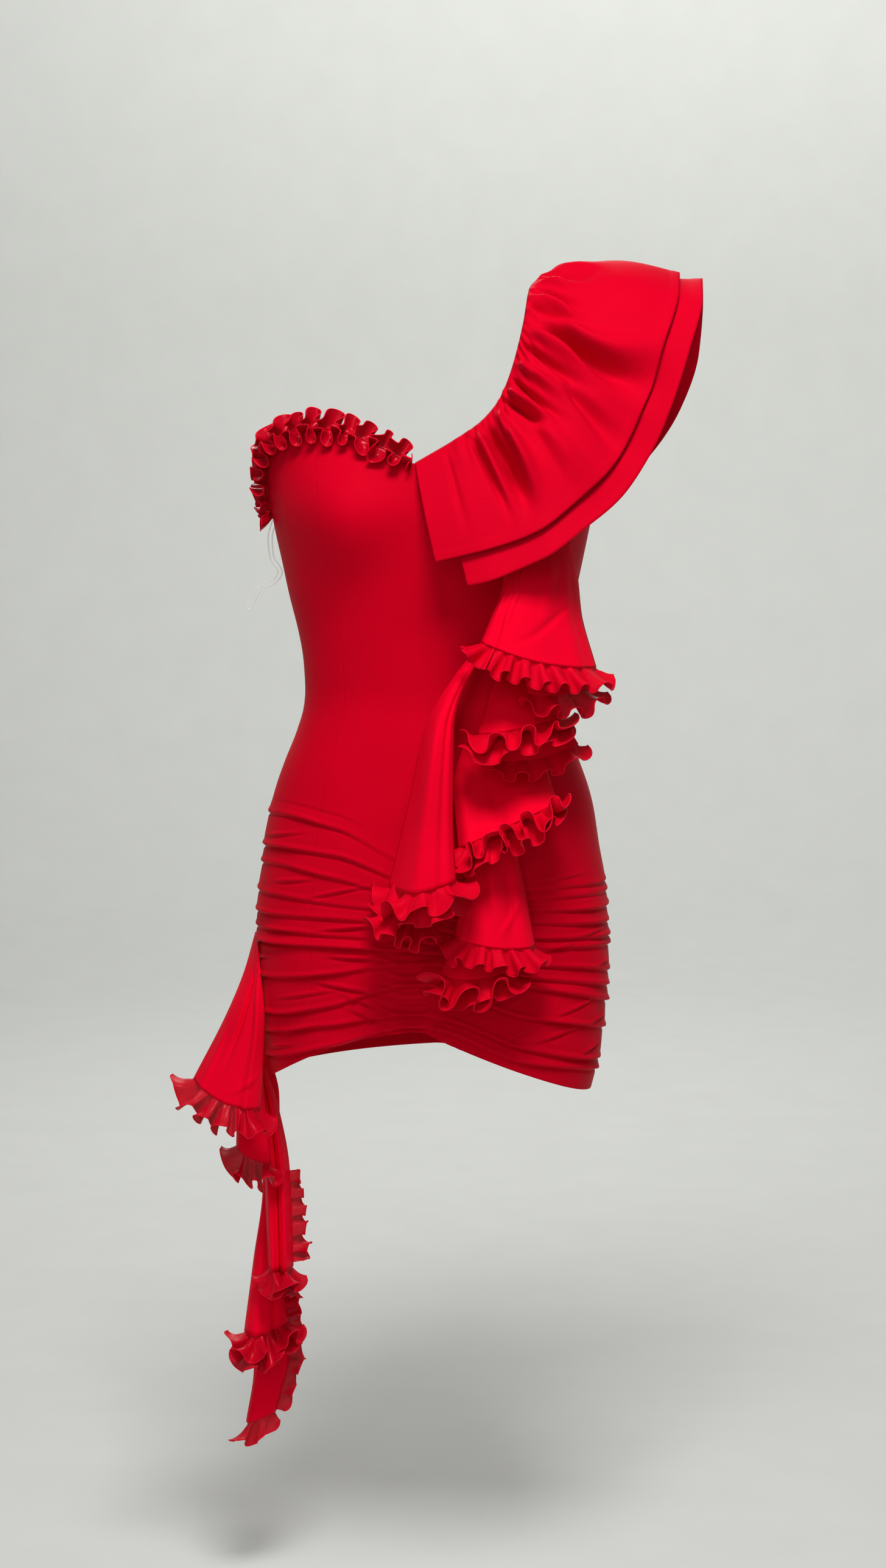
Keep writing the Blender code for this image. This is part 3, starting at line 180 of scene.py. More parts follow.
# The shoulder ruffle: the free edge of its upper layer, by the share along its seam.
RUFFLE_EDGE = columns("u x y drop", [
    (0.00, 0.0137, -0.140, 0.2815), (0.10, 0.0670, -0.152, 0.2690),
    (0.19, 0.1100, -0.152, 0.2530), (0.26, 0.1440, -0.138, 0.2260),
    (0.32, 0.1750, -0.118, 0.1960), (0.37, 0.1970, -0.100, 0.1600),
    (0.41, 0.2125, -0.092, 0.1230), (0.45, 0.2310, -0.074, 0.0665),
    (0.48, 0.2420, -0.044, 0.0250), (0.51, 0.2435, 0.002, 0.0025),
    (0.55, 0.2450, 0.048, 0.0200), (0.60, 0.2420, 0.078, 0.0640),
    (0.66, 0.2270, 0.098, 0.1140), (0.73, 0.1980, 0.114, 0.1620),
    (0.81, 0.1580, 0.128, 0.2040), (0.90, 0.1050, 0.140, 0.2380),
    (1.00, 0.0450, 0.140, 0.2620),
])
# How high the ruffle crowns, how far it stands off the body, its cloth's thickness in the
# solids, and a point inside its curve.
RUFFLE_CROWN, RUFFLE_STAND, RUFFLE_CLOTH = 0.010, 0.0005, 0.0011
RUFFLE_HEART = np.array([0.06, 0.0, -0.30])
# The ruffle's layers: the first and last share along the seam, how far each reaches, how far it
# sinks at its edge, the share of the folds' height that it takes, its columns and its rows.
RUFFLE_LAYERS = {
    "shoulder_ruffle_upper": (0.0, 1.0, 1.0, 0.0, 1.0, 340, 66),
    "shoulder_ruffle_under": (0.041, 29 / 30, 1.16, 0.004, 0.75, 320, 66),
}
# The under layer reaches further by this share at its front end, over this share of the seam.
UNDER_LONGER, UNDER_LONGER_RUN = 0.075, 0.10
# How near the seam the ruffle is sewn down, as a share of the way out, and how far above the
# body each layer lies there.
SEWN_RUN, SEWN_UPPER, SEWN_UNDER = 0.014, 0.0014, 0.0008
# The turned hem: its depth and extra thickness, and its sewn line and that line's dip.
HEM_DEPTH, HEM_THICK, STITCH_DEPTH, STITCH_DIP = 0.0095, 0.0004, 0.0088, 0.0005
# The ruffle's soft billow, its fine gathers and how far out they reach, and how much a narrow
# and a wide fold are raised above the heights of the table.
BILLOW, FINE_HIGH, FINE_REACH = 0.0050, 0.0024, 0.20
NARROW_FOLD, NARROW_RAISED, WIDE_RAISED = 0.0165, 2.0, 1.7
# Folds of the ruffle: each runs out from the seam, from a share along it and a
# share of the way out to another, with its half width as a share along and its height; a
# trough has a height below nothing. A share along below a half is in front, above it behind.
RUFFLE_FOLDS = columns("u0 out0 u1 out1 half high", [
    (0.060, 0.04, 0.066, 0.85, 0.012, -0.0014), (0.103, 0.02, 0.150, 0.86, 0.014, -0.0050),
    (0.120, 0.05, 0.166, 0.80, 0.018, 0.0050), (0.140, 0.06, 0.190, 0.92, 0.027, -0.0110),
    (0.172, 0.04, 0.222, 0.74, 0.020, 0.0070), (0.200, 0.30, 0.211, 0.82, 0.016, 0.0055),
    (0.193, 0.04, 0.272, 0.58, 0.012, -0.0065), (0.214, 0.04, 0.284, 0.56, 0.011, 0.0050),
    (0.233, 0.03, 0.296, 0.62, 0.010, -0.0058), (0.262, 0.03, 0.318, 0.52, 0.014, 0.0052),
    (0.295, 0.02, 0.354, 0.64, 0.012, -0.0062), (0.322, 0.03, 0.380, 0.62, 0.018, 0.0060),
    (0.350, 0.10, 0.424, 1.10, 0.022, -0.0120), (0.372, 0.02, 0.394, 0.34, 0.012, -0.0050),
    (0.372, 0.16, 0.450, 1.15, 0.020, 0.0062), (0.322, 0.42, 0.350, 1.05, 0.021, -0.0066),
    (0.250, 0.38, 0.292, 1.05, 0.026, 0.0050),
    (0.388, 0.02, 0.420, 0.46, 0.012, 0.0046), (0.413, 0.02, 0.428, 0.40, 0.011, -0.0050),
    (0.436, 0.02, 0.452, 0.32, 0.011, 0.0036), (0.452, 0.02, 0.474, 0.42, 0.010, -0.0042),
    (0.480, 0.02, 0.492, 0.52, 0.014, 0.0030), (0.500, 0.03, 0.512, 0.34, 0.010, -0.0036),
    (0.530, 0.02, 0.548, 0.46, 0.011, -0.0046), (0.552, 0.02, 0.570, 0.50, 0.014, 0.0046),
    (0.578, 0.03, 0.590, 0.66, 0.013, -0.0060), (0.612, 0.06, 0.630, 0.95, 0.028, -0.0095),
    (0.640, 0.03, 0.652, 0.52, 0.016, 0.0055), (0.664, 0.02, 0.676, 0.60, 0.012, -0.0060),
    (0.700, 0.03, 0.706, 0.54, 0.016, 0.0050), (0.726, 0.04, 0.736, 0.90, 0.027, -0.0100),
    (0.760, 0.03, 0.764, 0.50, 0.014, 0.0052), (0.784, 0.02, 0.790, 0.60, 0.012, -0.0058),
    (0.816, 0.03, 0.824, 0.50, 0.014, 0.0044), (0.842, 0.05, 0.850, 0.82, 0.024, -0.0080),
    (0.880, 0.02, 0.886, 0.48, 0.012, -0.0044), (0.920, 0.02, 0.926, 0.66, 0.014, 0.0030),
])

# Hanging cloth: sections from the seat to the free edge, each with its left end (x, y, drop),
# its right end, how far its middle bows forward and how far it rises. As in the solids.
FRONT_LEAVES = {
    "cascade_tier_1": {"seat": (0.076, 0.262, 0.138, 0.262), "folds": 0.8, "depth": 0.002, "rows": [
        (0.0765, -0.136, 0.295, 0.1455, -0.082, 0.2955, 0.012, 0.000),
        (0.0660, -0.150, 0.330, 0.1495, -0.102, 0.3300, 0.014, 0.002),
        (0.0560, -0.158, 0.355, 0.1640, -0.120, 0.3810, 0.014, 0.006)]},
    "cascade_turn_1": {"seat": (0.088, 0.335, 0.124, 0.335), "folds": 1.0, "depth": 0.003, "rows": [
        (0.0920, -0.118, 0.370, 0.1400, -0.088, 0.3680, 0.006, 0.000),
        (0.1000, -0.136, 0.405, 0.1600, -0.098, 0.4000, 0.006, 0.004)]},
    "cascade_tier_2": {"seat": (0.076, 0.372, 0.110, 0.372), "folds": 0.6, "depth": 0.002, "rows": [
        (0.0660, -0.108, 0.398, 0.1200, -0.088, 0.3980, 0.006, 0.000),
        (0.0520, -0.137, 0.443, 0.1300, -0.115, 0.4290, 0.008, 0.002)]},
    "cascade_turn_2": {"seat": (0.084, 0.420, 0.116, 0.420), "folds": 1.0, "depth": 0.003, "rows": [
        (0.0740, -0.108, 0.448, 0.1360, -0.082, 0.4400, 0.004, 0.000),
        (0.0700, -0.120, 0.470, 0.1470, -0.092, 0.4560, 0.004, 0.005)]},
    "cascade_tier_3": {"seat": (0.036, 0.458, 0.110, 0.458), "folds": 0.7, "depth": 0.003, "rows": [
        (0.0270, -0.112, 0.495, 0.1190, -0.088, 0.4880, 0.004, 0.000),
        (0.0330, -0.136, 0.553, 0.1270, -0.118, 0.5100, 0.008, 0.000)]},
    "cascade_long_fold": {"seat": (0.060, 0.352, 0.072, 0.352), "folds": 0.0, "depth": 0.0, "rows": [
        (0.0300, -0.120, 0.388, 0.0440, -0.120, 0.3880, 0.004, 0.000),
        (0.0015, -0.138, 0.437, 0.0300, -0.142, 0.4370, 0.009, 0.000),
        (-0.0160, -0.150, 0.517, 0.0295, -0.158, 0.5170, 0.013, 0.000),
        (-0.0340, -0.158, 0.592, 0.0330, -0.170, 0.5800, 0.014, 0.004)]},
    "cascade_long_turn": {"seat": (-0.012, 0.510, 0.012, 0.510), "folds": 1.0, "depth": 0.003, "rows": [
        (-0.0200, -0.132, 0.560, 0.0130, -0.134, 0.5600, 0.004, 0.000),
        (-0.0370, -0.148, 0.609, 0.0090, -0.150, 0.6180, 0.004, 0.004)]},
    "cascade_tier_4": {"seat": (0.045, 0.532, 0.080, 0.532), "folds": 0.7, "depth": 0.002, "rows": [
        (0.0400, -0.118, 0.580, 0.0900, -0.108, 0.5660, 0.004, 0.000),
        (0.0300, -0.137, 0.638, 0.1070, -0.126, 0.6490, 0.008, 0.004)]},
    "cascade_tier_5": {"seat": (0.046, 0.602, 0.084, 0.602), "folds": 1.0, "depth": 0.003, "rows": [
        (0.0300, -0.119, 0.640, 0.0920, -0.110, 0.6360, 0.002, 0.000),
        (0.0160, -0.134, 0.676, 0.0880, -0.126, 0.6700, 0.002, 0.006)]},
}
TAIL_LEAVES = {
    "tail_tier_1": {"side_seat": (-0.004, -0.030, 0.654), "folds": 0.8, "depth": 0.003, "rows": [
        (-0.1880, -0.014, 0.690, -0.1685, -0.046, 0.6900, 0.002, 0.000),
        (-0.2060, -0.024, 0.735, -0.1640, -0.058, 0.7350, 0.006, 0.000),
        (-0.2390, -0.034, 0.800, -0.1680, -0.062, 0.8240, 0.012, 0.006)]},
    "tail_tier_2": {"side_seat": (0.016, 0.003, 0.673), "folds": 1.0, "depth": 0.003, "rows": [
        (-0.1890, 0.002, 0.720, -0.1830, -0.006, 0.7200, 0.000, 0.000),
        (-0.1980, -0.004, 0.790, -0.1735, -0.012, 0.7900, 0.002, 0.000),
        (-0.1990, -0.014, 0.872, -0.1630, -0.024, 0.8880, 0.006, 0.003)]},
    "tail_column": {"side_seat": (0.034, 0.021, 0.673), "folds": 0.0, "depth": 0.0, "rows": [
        (-0.1860, 0.012, 0.730, -0.1820, 0.006, 0.7300, 0.000, 0.000),
        (-0.1820, 0.008, 0.785, -0.1735, 0.004, 0.7850, 0.000, 0.000),
        (-0.1770, 0.000, 0.830, -0.1590, 0.000, 0.8300, 0.000, 0.000),
        (-0.1720, -0.006, 0.900, -0.1460, -0.006, 0.9000, 0.000, 0.000),
        (-0.1680, -0.012, 0.998, -0.1420, -0.012, 0.9980, 0.004, 0.002)]},
    "tail_long": {"side_seat": (0.052, 0.040, 0.695), "folds": 1.0, "depth": 0.003, "rows": [
        (-0.1870, 0.036, 0.750, -0.1790, 0.034, 0.7500, 0.000, 0.000),
        (-0.1820, 0.026, 0.830, -0.1600, 0.028, 0.8300, 0.000, 0.000),
        (-0.1760, 0.020, 0.920, -0.1590, 0.022, 0.9200, 0.000, 0.000),
        (-0.1860, 0.014, 1.000, -0.1580, 0.018, 1.0000, 0.004, 0.000),
        (-0.1950, 0.006, 1.072, -0.1500, 0.010, 1.0620, 0.010, 0.004)]},
    "tail_tip": {"under": ("tail_long", 0.90), "folds": 1.0, "depth": 0.002, "rows": [
        (-0.1880, 0.028, 1.115, -0.1510, 0.028, 1.1000, 0.002, 0.000),
        (-0.1960, 0.024, 1.174, -0.1650, 0.024, 1.1620, 0.002, 0.000)]},
}
# Creases on a leaf: from (share across, share down) to (share across, share
# down), half width as a share across, and height; a trough has a height below nothing.
LEAF_CREASES = {
    "cascade_tier_1": [(0.07, 0.20, 0.045, 1.0, 0.030, 0.0034), (0.155, 0.20, 0.115, 1.0, 0.030, 0.0036),
                       (0.26, 0.15, 0.19, 0.72, 0.030, 0.0026), (0.90, 0.20, 0.93, 1.0, 0.050, -0.0024),
                       (0.96, 0.52, 0.38, 0.86, 0.110, -0.0026), (0.66, 0.10, 0.60, 0.70, 0.12, 0.0030)],
    "cascade_tier_2": [(0.42, 0.30, 0.30, 1.0, 0.260, 0.0040), (0.78, 0.25, 0.80, 1.0, 0.120, -0.0026)],
    "cascade_tier_3": [(0.66, 0.30, 0.78, 1.0, 0.220, 0.0046), (0.40, 0.35, 0.46, 1.0, 0.120, -0.0036),
                       (0.12, 0.40, 0.10, 1.0, 0.100, 0.0026)],
    "cascade_long_fold": [(0.76, 0.10, 0.80, 1.0, 0.110, -0.0026), (0.50, 0.30, 0.42, 1.0, 0.200, 0.0014)],
    "cascade_tier_4": [(0.46, 0.20, 0.56, 0.80, 0.170, 0.0050), (0.74, 0.25, 0.76, 0.90, 0.110, -0.0034),
                       (0.94, 0.62, 0.58, 0.92, 0.090, 0.0024), (0.14, 0.30, 0.10, 1.0, 0.080, 0.0024)],
    "tail_tier_1": [(0.62, 0.15, 0.36, 0.80, 0.080, -0.0056), (0.84, 0.15, 0.80, 1.0, 0.110, 0.0046),
                    (0.16, 0.50, 0.14, 1.0, 0.080, 0.0030), (0.98, 0.80, 0.56, 0.94, 0.070, 0.0030)],
    "tail_column": [(0.25, 0.15, 0.26, 1.0, 0.230, 0.0070), (0.51, 0.12, 0.52, 1.0, 0.060, -0.0060),
                    (0.77, 0.15, 0.77, 1.0, 0.230, 0.0075)],
    "tail_long": [(0.74, 0.40, 0.70, 1.0, 0.090, -0.0036), (0.36, 0.50, 0.30, 1.0, 0.200, 0.0030)],
}
# How the side edges of a leaf turn back: depth and share of the width, on the left and right.
LEAF_TURNS = {
    "cascade_tier_1": (0.010, 0.10, 0.016, 0.18), "cascade_long_fold": (0.036, 0.50, 0.006, 0.12),
    "cascade_tier_4": (0.010, 0.14, 0.010, 0.12), "tail_column": (0.012, 0.22, 0.010, 0.22),
    "tail_tier_1": (0.006, 0.12, 0.008, 0.12),
}
SOFT_TURN = (0.007, 0.14, 0.007, 0.14)
# A leaf narrower than this has shallower folds.
FOLD_ROOM = 0.030
# The points of a leaf's grid across and down, how far its top lies behind the leaf that carries
# it, ahead of the body or beside it, and the body's half width at the hips.
LEAF_COLUMNS, LEAF_ROWS, HIP_HALF = 49, 61, 0.17
LEAF_BEHIND, LEAF_AHEAD, LEAF_BESIDE = 0.0017, 0.0010, 0.0020

# Gathered frills: the leaf and edge that each is sewn to, the stretch of it, its waves, the
# width at its two ends, the height of the waves, the turn of its free edge away from the leaf
# in degrees, how much more the crests turn than the troughs, how far its ends spread, and the
# width of the strip behind it (0 for none). The order is also that of the random seeds.
FRILLS = {
    "frill_tier_1": ("cascade_tier_1", "edge", 0.0, 1.0, 8, 0.026, 0.026, 0.0056, 18, 0.35, 0.016, 0.0),
    "frill_turn_1": ("cascade_turn_1", "edge", 0.0, 1.0, 4, 0.022, 0.026, 0.0056, 30, 0.3, 0.006, 0.0),
    "frill_tier_2": ("cascade_tier_2", "edge", 0.0, 1.0, 4, 0.027, 0.028, 0.0066, 70, 0.30, 0.012, 0.031),
    "frill_turn_2": ("cascade_turn_2", "edge", 0.0, 1.0, 4, 0.022, 0.022, 0.0050, 26, 0.3, 0.004, 0.0),
    "frill_tier_3": ("cascade_tier_3", "edge", 0.0, 1.0, 6, 0.027, 0.030, 0.0078, 74, 0.30, 0.008, 0.032),
    "frill_long_fold": ("cascade_long_fold", "edge", 0.0, 1.0, 4, 0.029, 0.027, 0.0076, 68, 0.3, 0.02, 0.034),
    "frill_long_turn": ("cascade_long_turn", "edge", 0.0, 1.0, 4, 0.030, 0.032, 0.0060, 30, 0.3, 0.008, 0.0),
    "frill_tier_4": ("cascade_tier_4", "edge", 0.0, 1.0, 6, 0.025, 0.025, 0.0056, 20, 0.35, 0.014, 0.0),
    "frill_tier_5": ("cascade_tier_5", "edge", 0.0, 1.0, 3, 0.033, 0.029, 0.0090, 60, 0.35, 0.010, 0.030),
    "tail_frill_1": ("tail_tier_1", "edge", 0.0, 1.0, 6, 0.029, 0.029, 0.0066, 30, 0.40, 0.014, 0.0),
    "tail_frill_2": ("tail_tier_2", "edge", 0.0, 1.0, 4, 0.029, 0.028, 0.0058, 40, 0.4, 0.003, 0.0),
    "tail_column_frill": ("tail_column", "edge", 0.0, 1.0, 3, 0.026, 0.026, 0.0060, 44, 0.30, 0.008, 0.030),
    "tail_column_side_frill": ("tail_column", "right", 0.7, 0.99, 5, 0.013, 0.018, 0.005, 52, 0.4, 0.0, 0.0),
    "tail_long_frill": ("tail_long", "edge", 0.0, 1.0, 5, 0.027, 0.029, 0.0056, 62, 0.25, 0.007, 0.036),
    "tail_long_side_frill": ("tail_long", "right", 0.82, 0.99, 3, 0.014, 0.016, 0.0046, 46, 0.3, 0.0, 0.0),
    "tail_tip_frill": ("tail_tip", "edge", 0.0, 1.0, 2, 0.028, 0.020, 0.0050, 22, 0.3, 0.0, 0.0),
    "tail_tip_side_frill": ("tail_tip", "right", 0.04, 0.99, 5, 0.017, 0.015, 0.0048, 46, 0.4, 0.0, 0.0),
}
# The shape of a frill's waves: how far they slide into loops, how far they lean over with the
# strip, how much their crests flatten into pouches, and how much longer the strip is at a crest.
WAVE_SHAPES = {
    "cascade": (0.11, 1.0, 0.0, 0.05),
    "behind": (0.11, 1.0, 0.0, 0.04),
    "tail": (0.16, 0.6, 0.22, 0.14),
    "neck": (0.17, 0.6, 0.22, 0.17),
}
# The strip behind a frill: its gap, the share of the wave height and of the spread that it
# takes, its turn and its swing, and the number that is added to its random seed.
BEHIND_GAP, BEHIND_SHARE, BEHIND_TURN, BEHIND_SWING, BEHIND_SEED = 0.0016, 0.7, 16, 0.5, 100
# Each wave differs from the next in height, place and length by up to these shares.
UNEVEN, UNEVEN_PLACE, UNEVEN_LENGTH = 0.40, 0.9, 0.10
STEPS_IN_WAVE, ROWS_IN_FRILL = 22, 15
# The size of the round corner at a strip's end, the share of the width left there, and the
# extra curl near it, in degrees, with the run over which that fades.
CORNER, CORNER_WIDTH, END_CURL, END_CURL_RUN = 0.009, 0.62, 34, 0.014
# The depth of the pinched gathers, and how far from the seam they lie and reach.
PINCH_DEEP, PINCH_AT = 0.0004, 0.004

# The neckline frill: its waves, the stretch of the neckline it covers, the height of its waves,
# how much more its crests turn, the thickness of its overlocked edge against the others', and
# the radius of the seam's rolled edge.
NECK_WAVES, NECK_SPAN, NECK_HIGH, NECK_SWING, NECK_THREAD = 14, (0.012, 0.985), 0.0074, 0.45, 0.9
SEAM_ROLL = 0.0017
# A point inside the cup, which the standing row points away from.
CUP_CENTRE = np.array([-0.085, -0.080, -0.250])

# The hanger tape: its width, the gap and the wall of its folded loop, its y, and its run down
# from the underarm seam as (x, drop).
TAPE_WIDTH, TAPE_GAP, TAPE_WALL, TAPE_Y = 0.006, 0.004, 0.0007, 0.008
TAPE_PATH = [(-0.1585, 0.2405), (-0.1628, 0.258), (-0.1615, 0.276), (-0.1530, 0.292),
             (-0.1600, 0.302), (-0.1740, 0.309), (-0.1835, 0.327)]

# Cloth finishes: the colour setting of each, the shares of it that its lighter and its darker
# tone take, which a slow noise mixes at random, the size of a thread, the slant of the weave,
# roughness, sheen, depth of the weave, gleam, alpha and coat. The slant is in radians, 45 degrees
# for cloth cut on the cross.
ON_CROSS = 0.785
CLOTH_FINISHES = {
    "satin_jersey": ("jersey", 1.0, 0.85, 0.0007, 0.0, 0.52, 0.06, 0.08, 0.05, 1.0, 0.0),
    "crisp_crepe": ("cloth", 1.0, 0.85, 0.0006, ON_CROSS, 0.58, 0.08, 0.10, 0.04, 1.0, 0.0),
    # Painted light: the leaves' crepe is the ruffle's cloth, made brighter in both tones to make up for the
    # shade they hang in under the ruffle.
    "fluid_crepe": ("cloth", 1.48, 1.0, 0.0006, ON_CROSS, 0.56, 0.08, 0.10, 0.05, 1.0, 0.0),
    "sheer_frill": ("frill", 1.0, 0.80, 0.0005, ON_CROSS, 0.44, 0.08, 0.10, 0.12, 0.92, 0.0),
    "thin_frill": ("frill", 0.86, 0.68, 0.0005, ON_CROSS, 0.42, 0.08, 0.10, 0.20, 0.88, 0.10),
    "glossy_frill": ("frill", 0.68, 0.55, 0.0005, ON_CROSS, 0.26, 0.04, 0.10, 0.22, 0.96, 0.14),
}
# The pitch of a wave texture's bands at a scale of one, and of an overlocked edge's thread.
WAVE_PITCH, THREAD_PITCH = 0.314, 0.0009

# The round studio: how far its floor bends up, how tall its wall is, the steps round it, and
# the scale of its paint's grain.
STUDIO_BEND, STUDIO_TALL, STUDIO_STEPS, PAINT_GRAIN = 1.8, 3.6, 96, 9.0
# The wall lamps: how far in front of the wall they hang, and at what height.
LAMP_OFF, LAMP_HIGH = 2.4, 2.6
# The light from all around.
SKY_COLOUR, SKY_STRENGTH = (0.86, 0.92, 1.0, 1.0), 0.14
# The photograph's camera: its distance from the figure, its height, its turn and its tilt in
# degrees; its focal length, the frame's height and middle, and the figure's middle, in pixels
# of a frame of 1455 by 2576; and the sensor's height in millimetres.
CAMERA_REACH, CAMERA_HEIGHT, CAMERA_TURN, CAMERA_TILT = 2.675, -0.26, 3.5, 5.2
FOCAL, FRAME_TALL, FRAME_MIDDLE, FIGURE_MIDDLE, SENSOR = 4400.0, 2576.0, 727.5, 709.5, 36.0


def smooth(xs, ys, x):
    """The value at x of a cubic that keeps the shape of the table's rows, without overshoot."""
    step = np.diff(xs)
    slope = np.diff(ys) / step
    product = slope[:-1] * slope[1:]
    total = np.where(np.abs(slope[:-1] + slope[1:]) < 1e-12, 1.0, slope[:-1] + slope[1:])
    middle = np.where(product > 0, 2 * product / total, 0.0)
    tangent = np.concatenate([slope[:1], middle, slope[-1:]])
    x = np.clip(x, xs[0], xs[-1])
    cell = np.clip(np.searchsorted(xs, x, side="right") - 1, 0, len(step) - 1)
    t = (x - xs[cell]) / step[cell]
    a = 2 * t ** 3 - 3 * t ** 2 + 1
    b = (t ** 3 - 2 * t ** 2 + t) * step[cell]
    c = (t ** 3 - t ** 2) * step[cell]
    return a * ys[cell] + (1 - a) * ys[cell + 1] + b * tangent[cell] + c * tangent[cell + 1]


def table(rows, key, name, x):
    """A named column of a table, smoothed, at the values x of its key column."""
    return smooth(rows[key], rows[name], x)


def ramp(x):
    """0 below 0, 1 above 1 and smooth between: 3x squared less 2x cubed."""
    x = np.clip(x, 0.0, 1.0)
    return x * x * (3 - 2 * x)


def bump(x):
    """1 at 0, falling to 0 at 1 and at -1 as the square of a cosine."""
    return np.cos(np.clip(x, -1, 1) * math.pi / 2) ** 2


def unit(v):
    """The vectors, each one metre long."""
    return v / np.maximum(np.linalg.norm(v, axis=-1, keepdims=True), 1e-12)


def run_along(line):
    """The length of a line up to each of its points: the running sum of its steps."""
    return np.concatenate([[0], np.cumsum(np.linalg.norm(np.diff(line, axis=0), axis=1))])


def pick_along(share, at, line):
    """Points of a line, straight between its own, at shares of it, given where its own lie."""
    return np.stack([np.interp(share, at, line[:, i]) for i in range(3)], axis=-1)


def grid_normals(points):
    """Unit normals of a grid: the cross product of its two directions at every point."""
    down = np.gradient(points, axis=0)
    across = np.gradient(points, axis=1)
    return unit(np.cross(across, down))


def shoulder_drop(x):
    """The drop of the shoulder line, which slopes away from the neck."""
    return SHOULDER_DROP + SHOULDER_SLOPE * np.maximum(np.abs(x) - SHOULDER_END, 0.0)


def skin(x, drop, side):
    """A point of the cloth over the figure: y is the depth times the root of what a power of
    the share across leaves, rounded at the shoulder and with the cup's bell in front."""
    x, drop = np.broadcast_arrays(np.asarray(x, float), np.asarray(drop, float))
    half = table(BODY, "drop", "half", drop)
    depth = table(BODY, "drop", "front" if side < 0 else "back", drop)
    inside = np.maximum(1 - np.clip(np.abs(x) / half, 0, 1) ** SECTION_POWER, 0)
    below = np.clip((drop - shoulder_drop(x)) / SHOULDER_ROUND, 0, 1)
    y = depth * inside ** (1 / SECTION_POWER) * np.sqrt(1 - (1 - below) ** 2)
    if side < 0:
        cup = ((np.abs(x) - CUP_X) ** 2 + (drop - CUP_DROP) ** 2) / CUP_SPREAD ** 2
        y = y + CUP_DEPTH * np.exp(-cup) * np.minimum(inside * 4, 1)
    return np.stack([x, side * (y + SEAM / 2), -drop], axis=-1)


def share_across(angle):
    """The share of the half width, 1 at the left seam and -1 at the right, at an angle."""
    c = np.cos(np.radians(angle))
    return np.sign(c) * np.abs(c) ** (2 / SECTION_POWER)


def column_x(angle, drop, outline, outer, inner):
    """The x of a column at a drop, spaced between the two outlines that bound it there."""
    half = table(BODY, "drop", "half", drop)
    limits = []
    for first, last in (outer, inner):
        low, high = min(first, last), max(first, last)
        run = (outline["angle"] >= low) & (outline["angle"] <= high)
        order = np.argsort(outline["drop"][run])
        falls = outline["drop"][run][order]
        share = share_across(outline["angle"][run])[order]
        place = outline["x"][run][order]
        end = share_across(first)
        limit_share = np.where(drop > falls[-1], end, np.interp(drop, falls, share))
        limit_x = np.where(drop > falls[-1], half * end, np.interp(drop, falls, place))
        limits.append((limit_share, limit_x))
    (share_out, x_out), (share_in, x_in) = limits
    span = share_out - share_in
    mix = (share_across(angle) - share_in) / np.where(np.abs(span) < 1e-9, 1.0, span)
    return x_in + mix * (x_out - x_in)


def hem_drop(angle):
    """The drop of the hem: eased from each side seam to the peak in front, level behind."""
    c = np.cos(np.radians(angle))
    side = np.where(c < 0, HEM["right"], HEM["left"])
    ease = np.where(c < 0, FRONT_EASE["right"], FRONT_EASE["left"])
    ahead = HEM["front"] + (side - HEM["front"]) * np.abs(c) ** ease
    behind = HEM["back"] + (side - HEM["back"]) * np.abs(c)
    return np.where(np.sin(np.radians(angle)) > -1e-9, ahead, behind)


def fold_drop(k, angle):
    """The drop of fold k round the body: its table in front, eased to the middle behind."""
    names = ("l0", "l30", "l60", "front", "r120", "r150", "r180")
    row = np.array([FOLDS[n][k] for n in names])
    left, right = row[0], row[-1]
    share = (HEM["back"] - RUCHE_TOP) / ((HEM["right"] + HEM["left"]) / 2 - RUCHE_TOP)
    middle = RUCHE_TOP + ((right + left) / 2 - RUCHE_TOP) * share
    c = np.cos(np.radians(angle))
    behind = middle + (np.where(c < 0, right, left) - middle) * np.abs(c)
    return np.where(angle <= 180, smooth(FOLD_ANGLES, row, angle), behind)


def fold_height(k, angle):
    """How proud fold k stands: its table in front, and the same folds a little flatter behind."""
    right, r_mid, front, l_mid, left = (FOLDS["high" + n][k] for n in "180 135 92 45 0".split())
    left, right = 0.8 * left, 0.8 * right
    at = np.array([0.0, 45, 92, 135, 180, 225, 270, 315, 360])
    high = np.array([left, l_mid, front, r_mid, right, 0.8 * r_mid, 0.3 * front, 0.8 * l_mid, left])
    return smooth(at, high, angle)


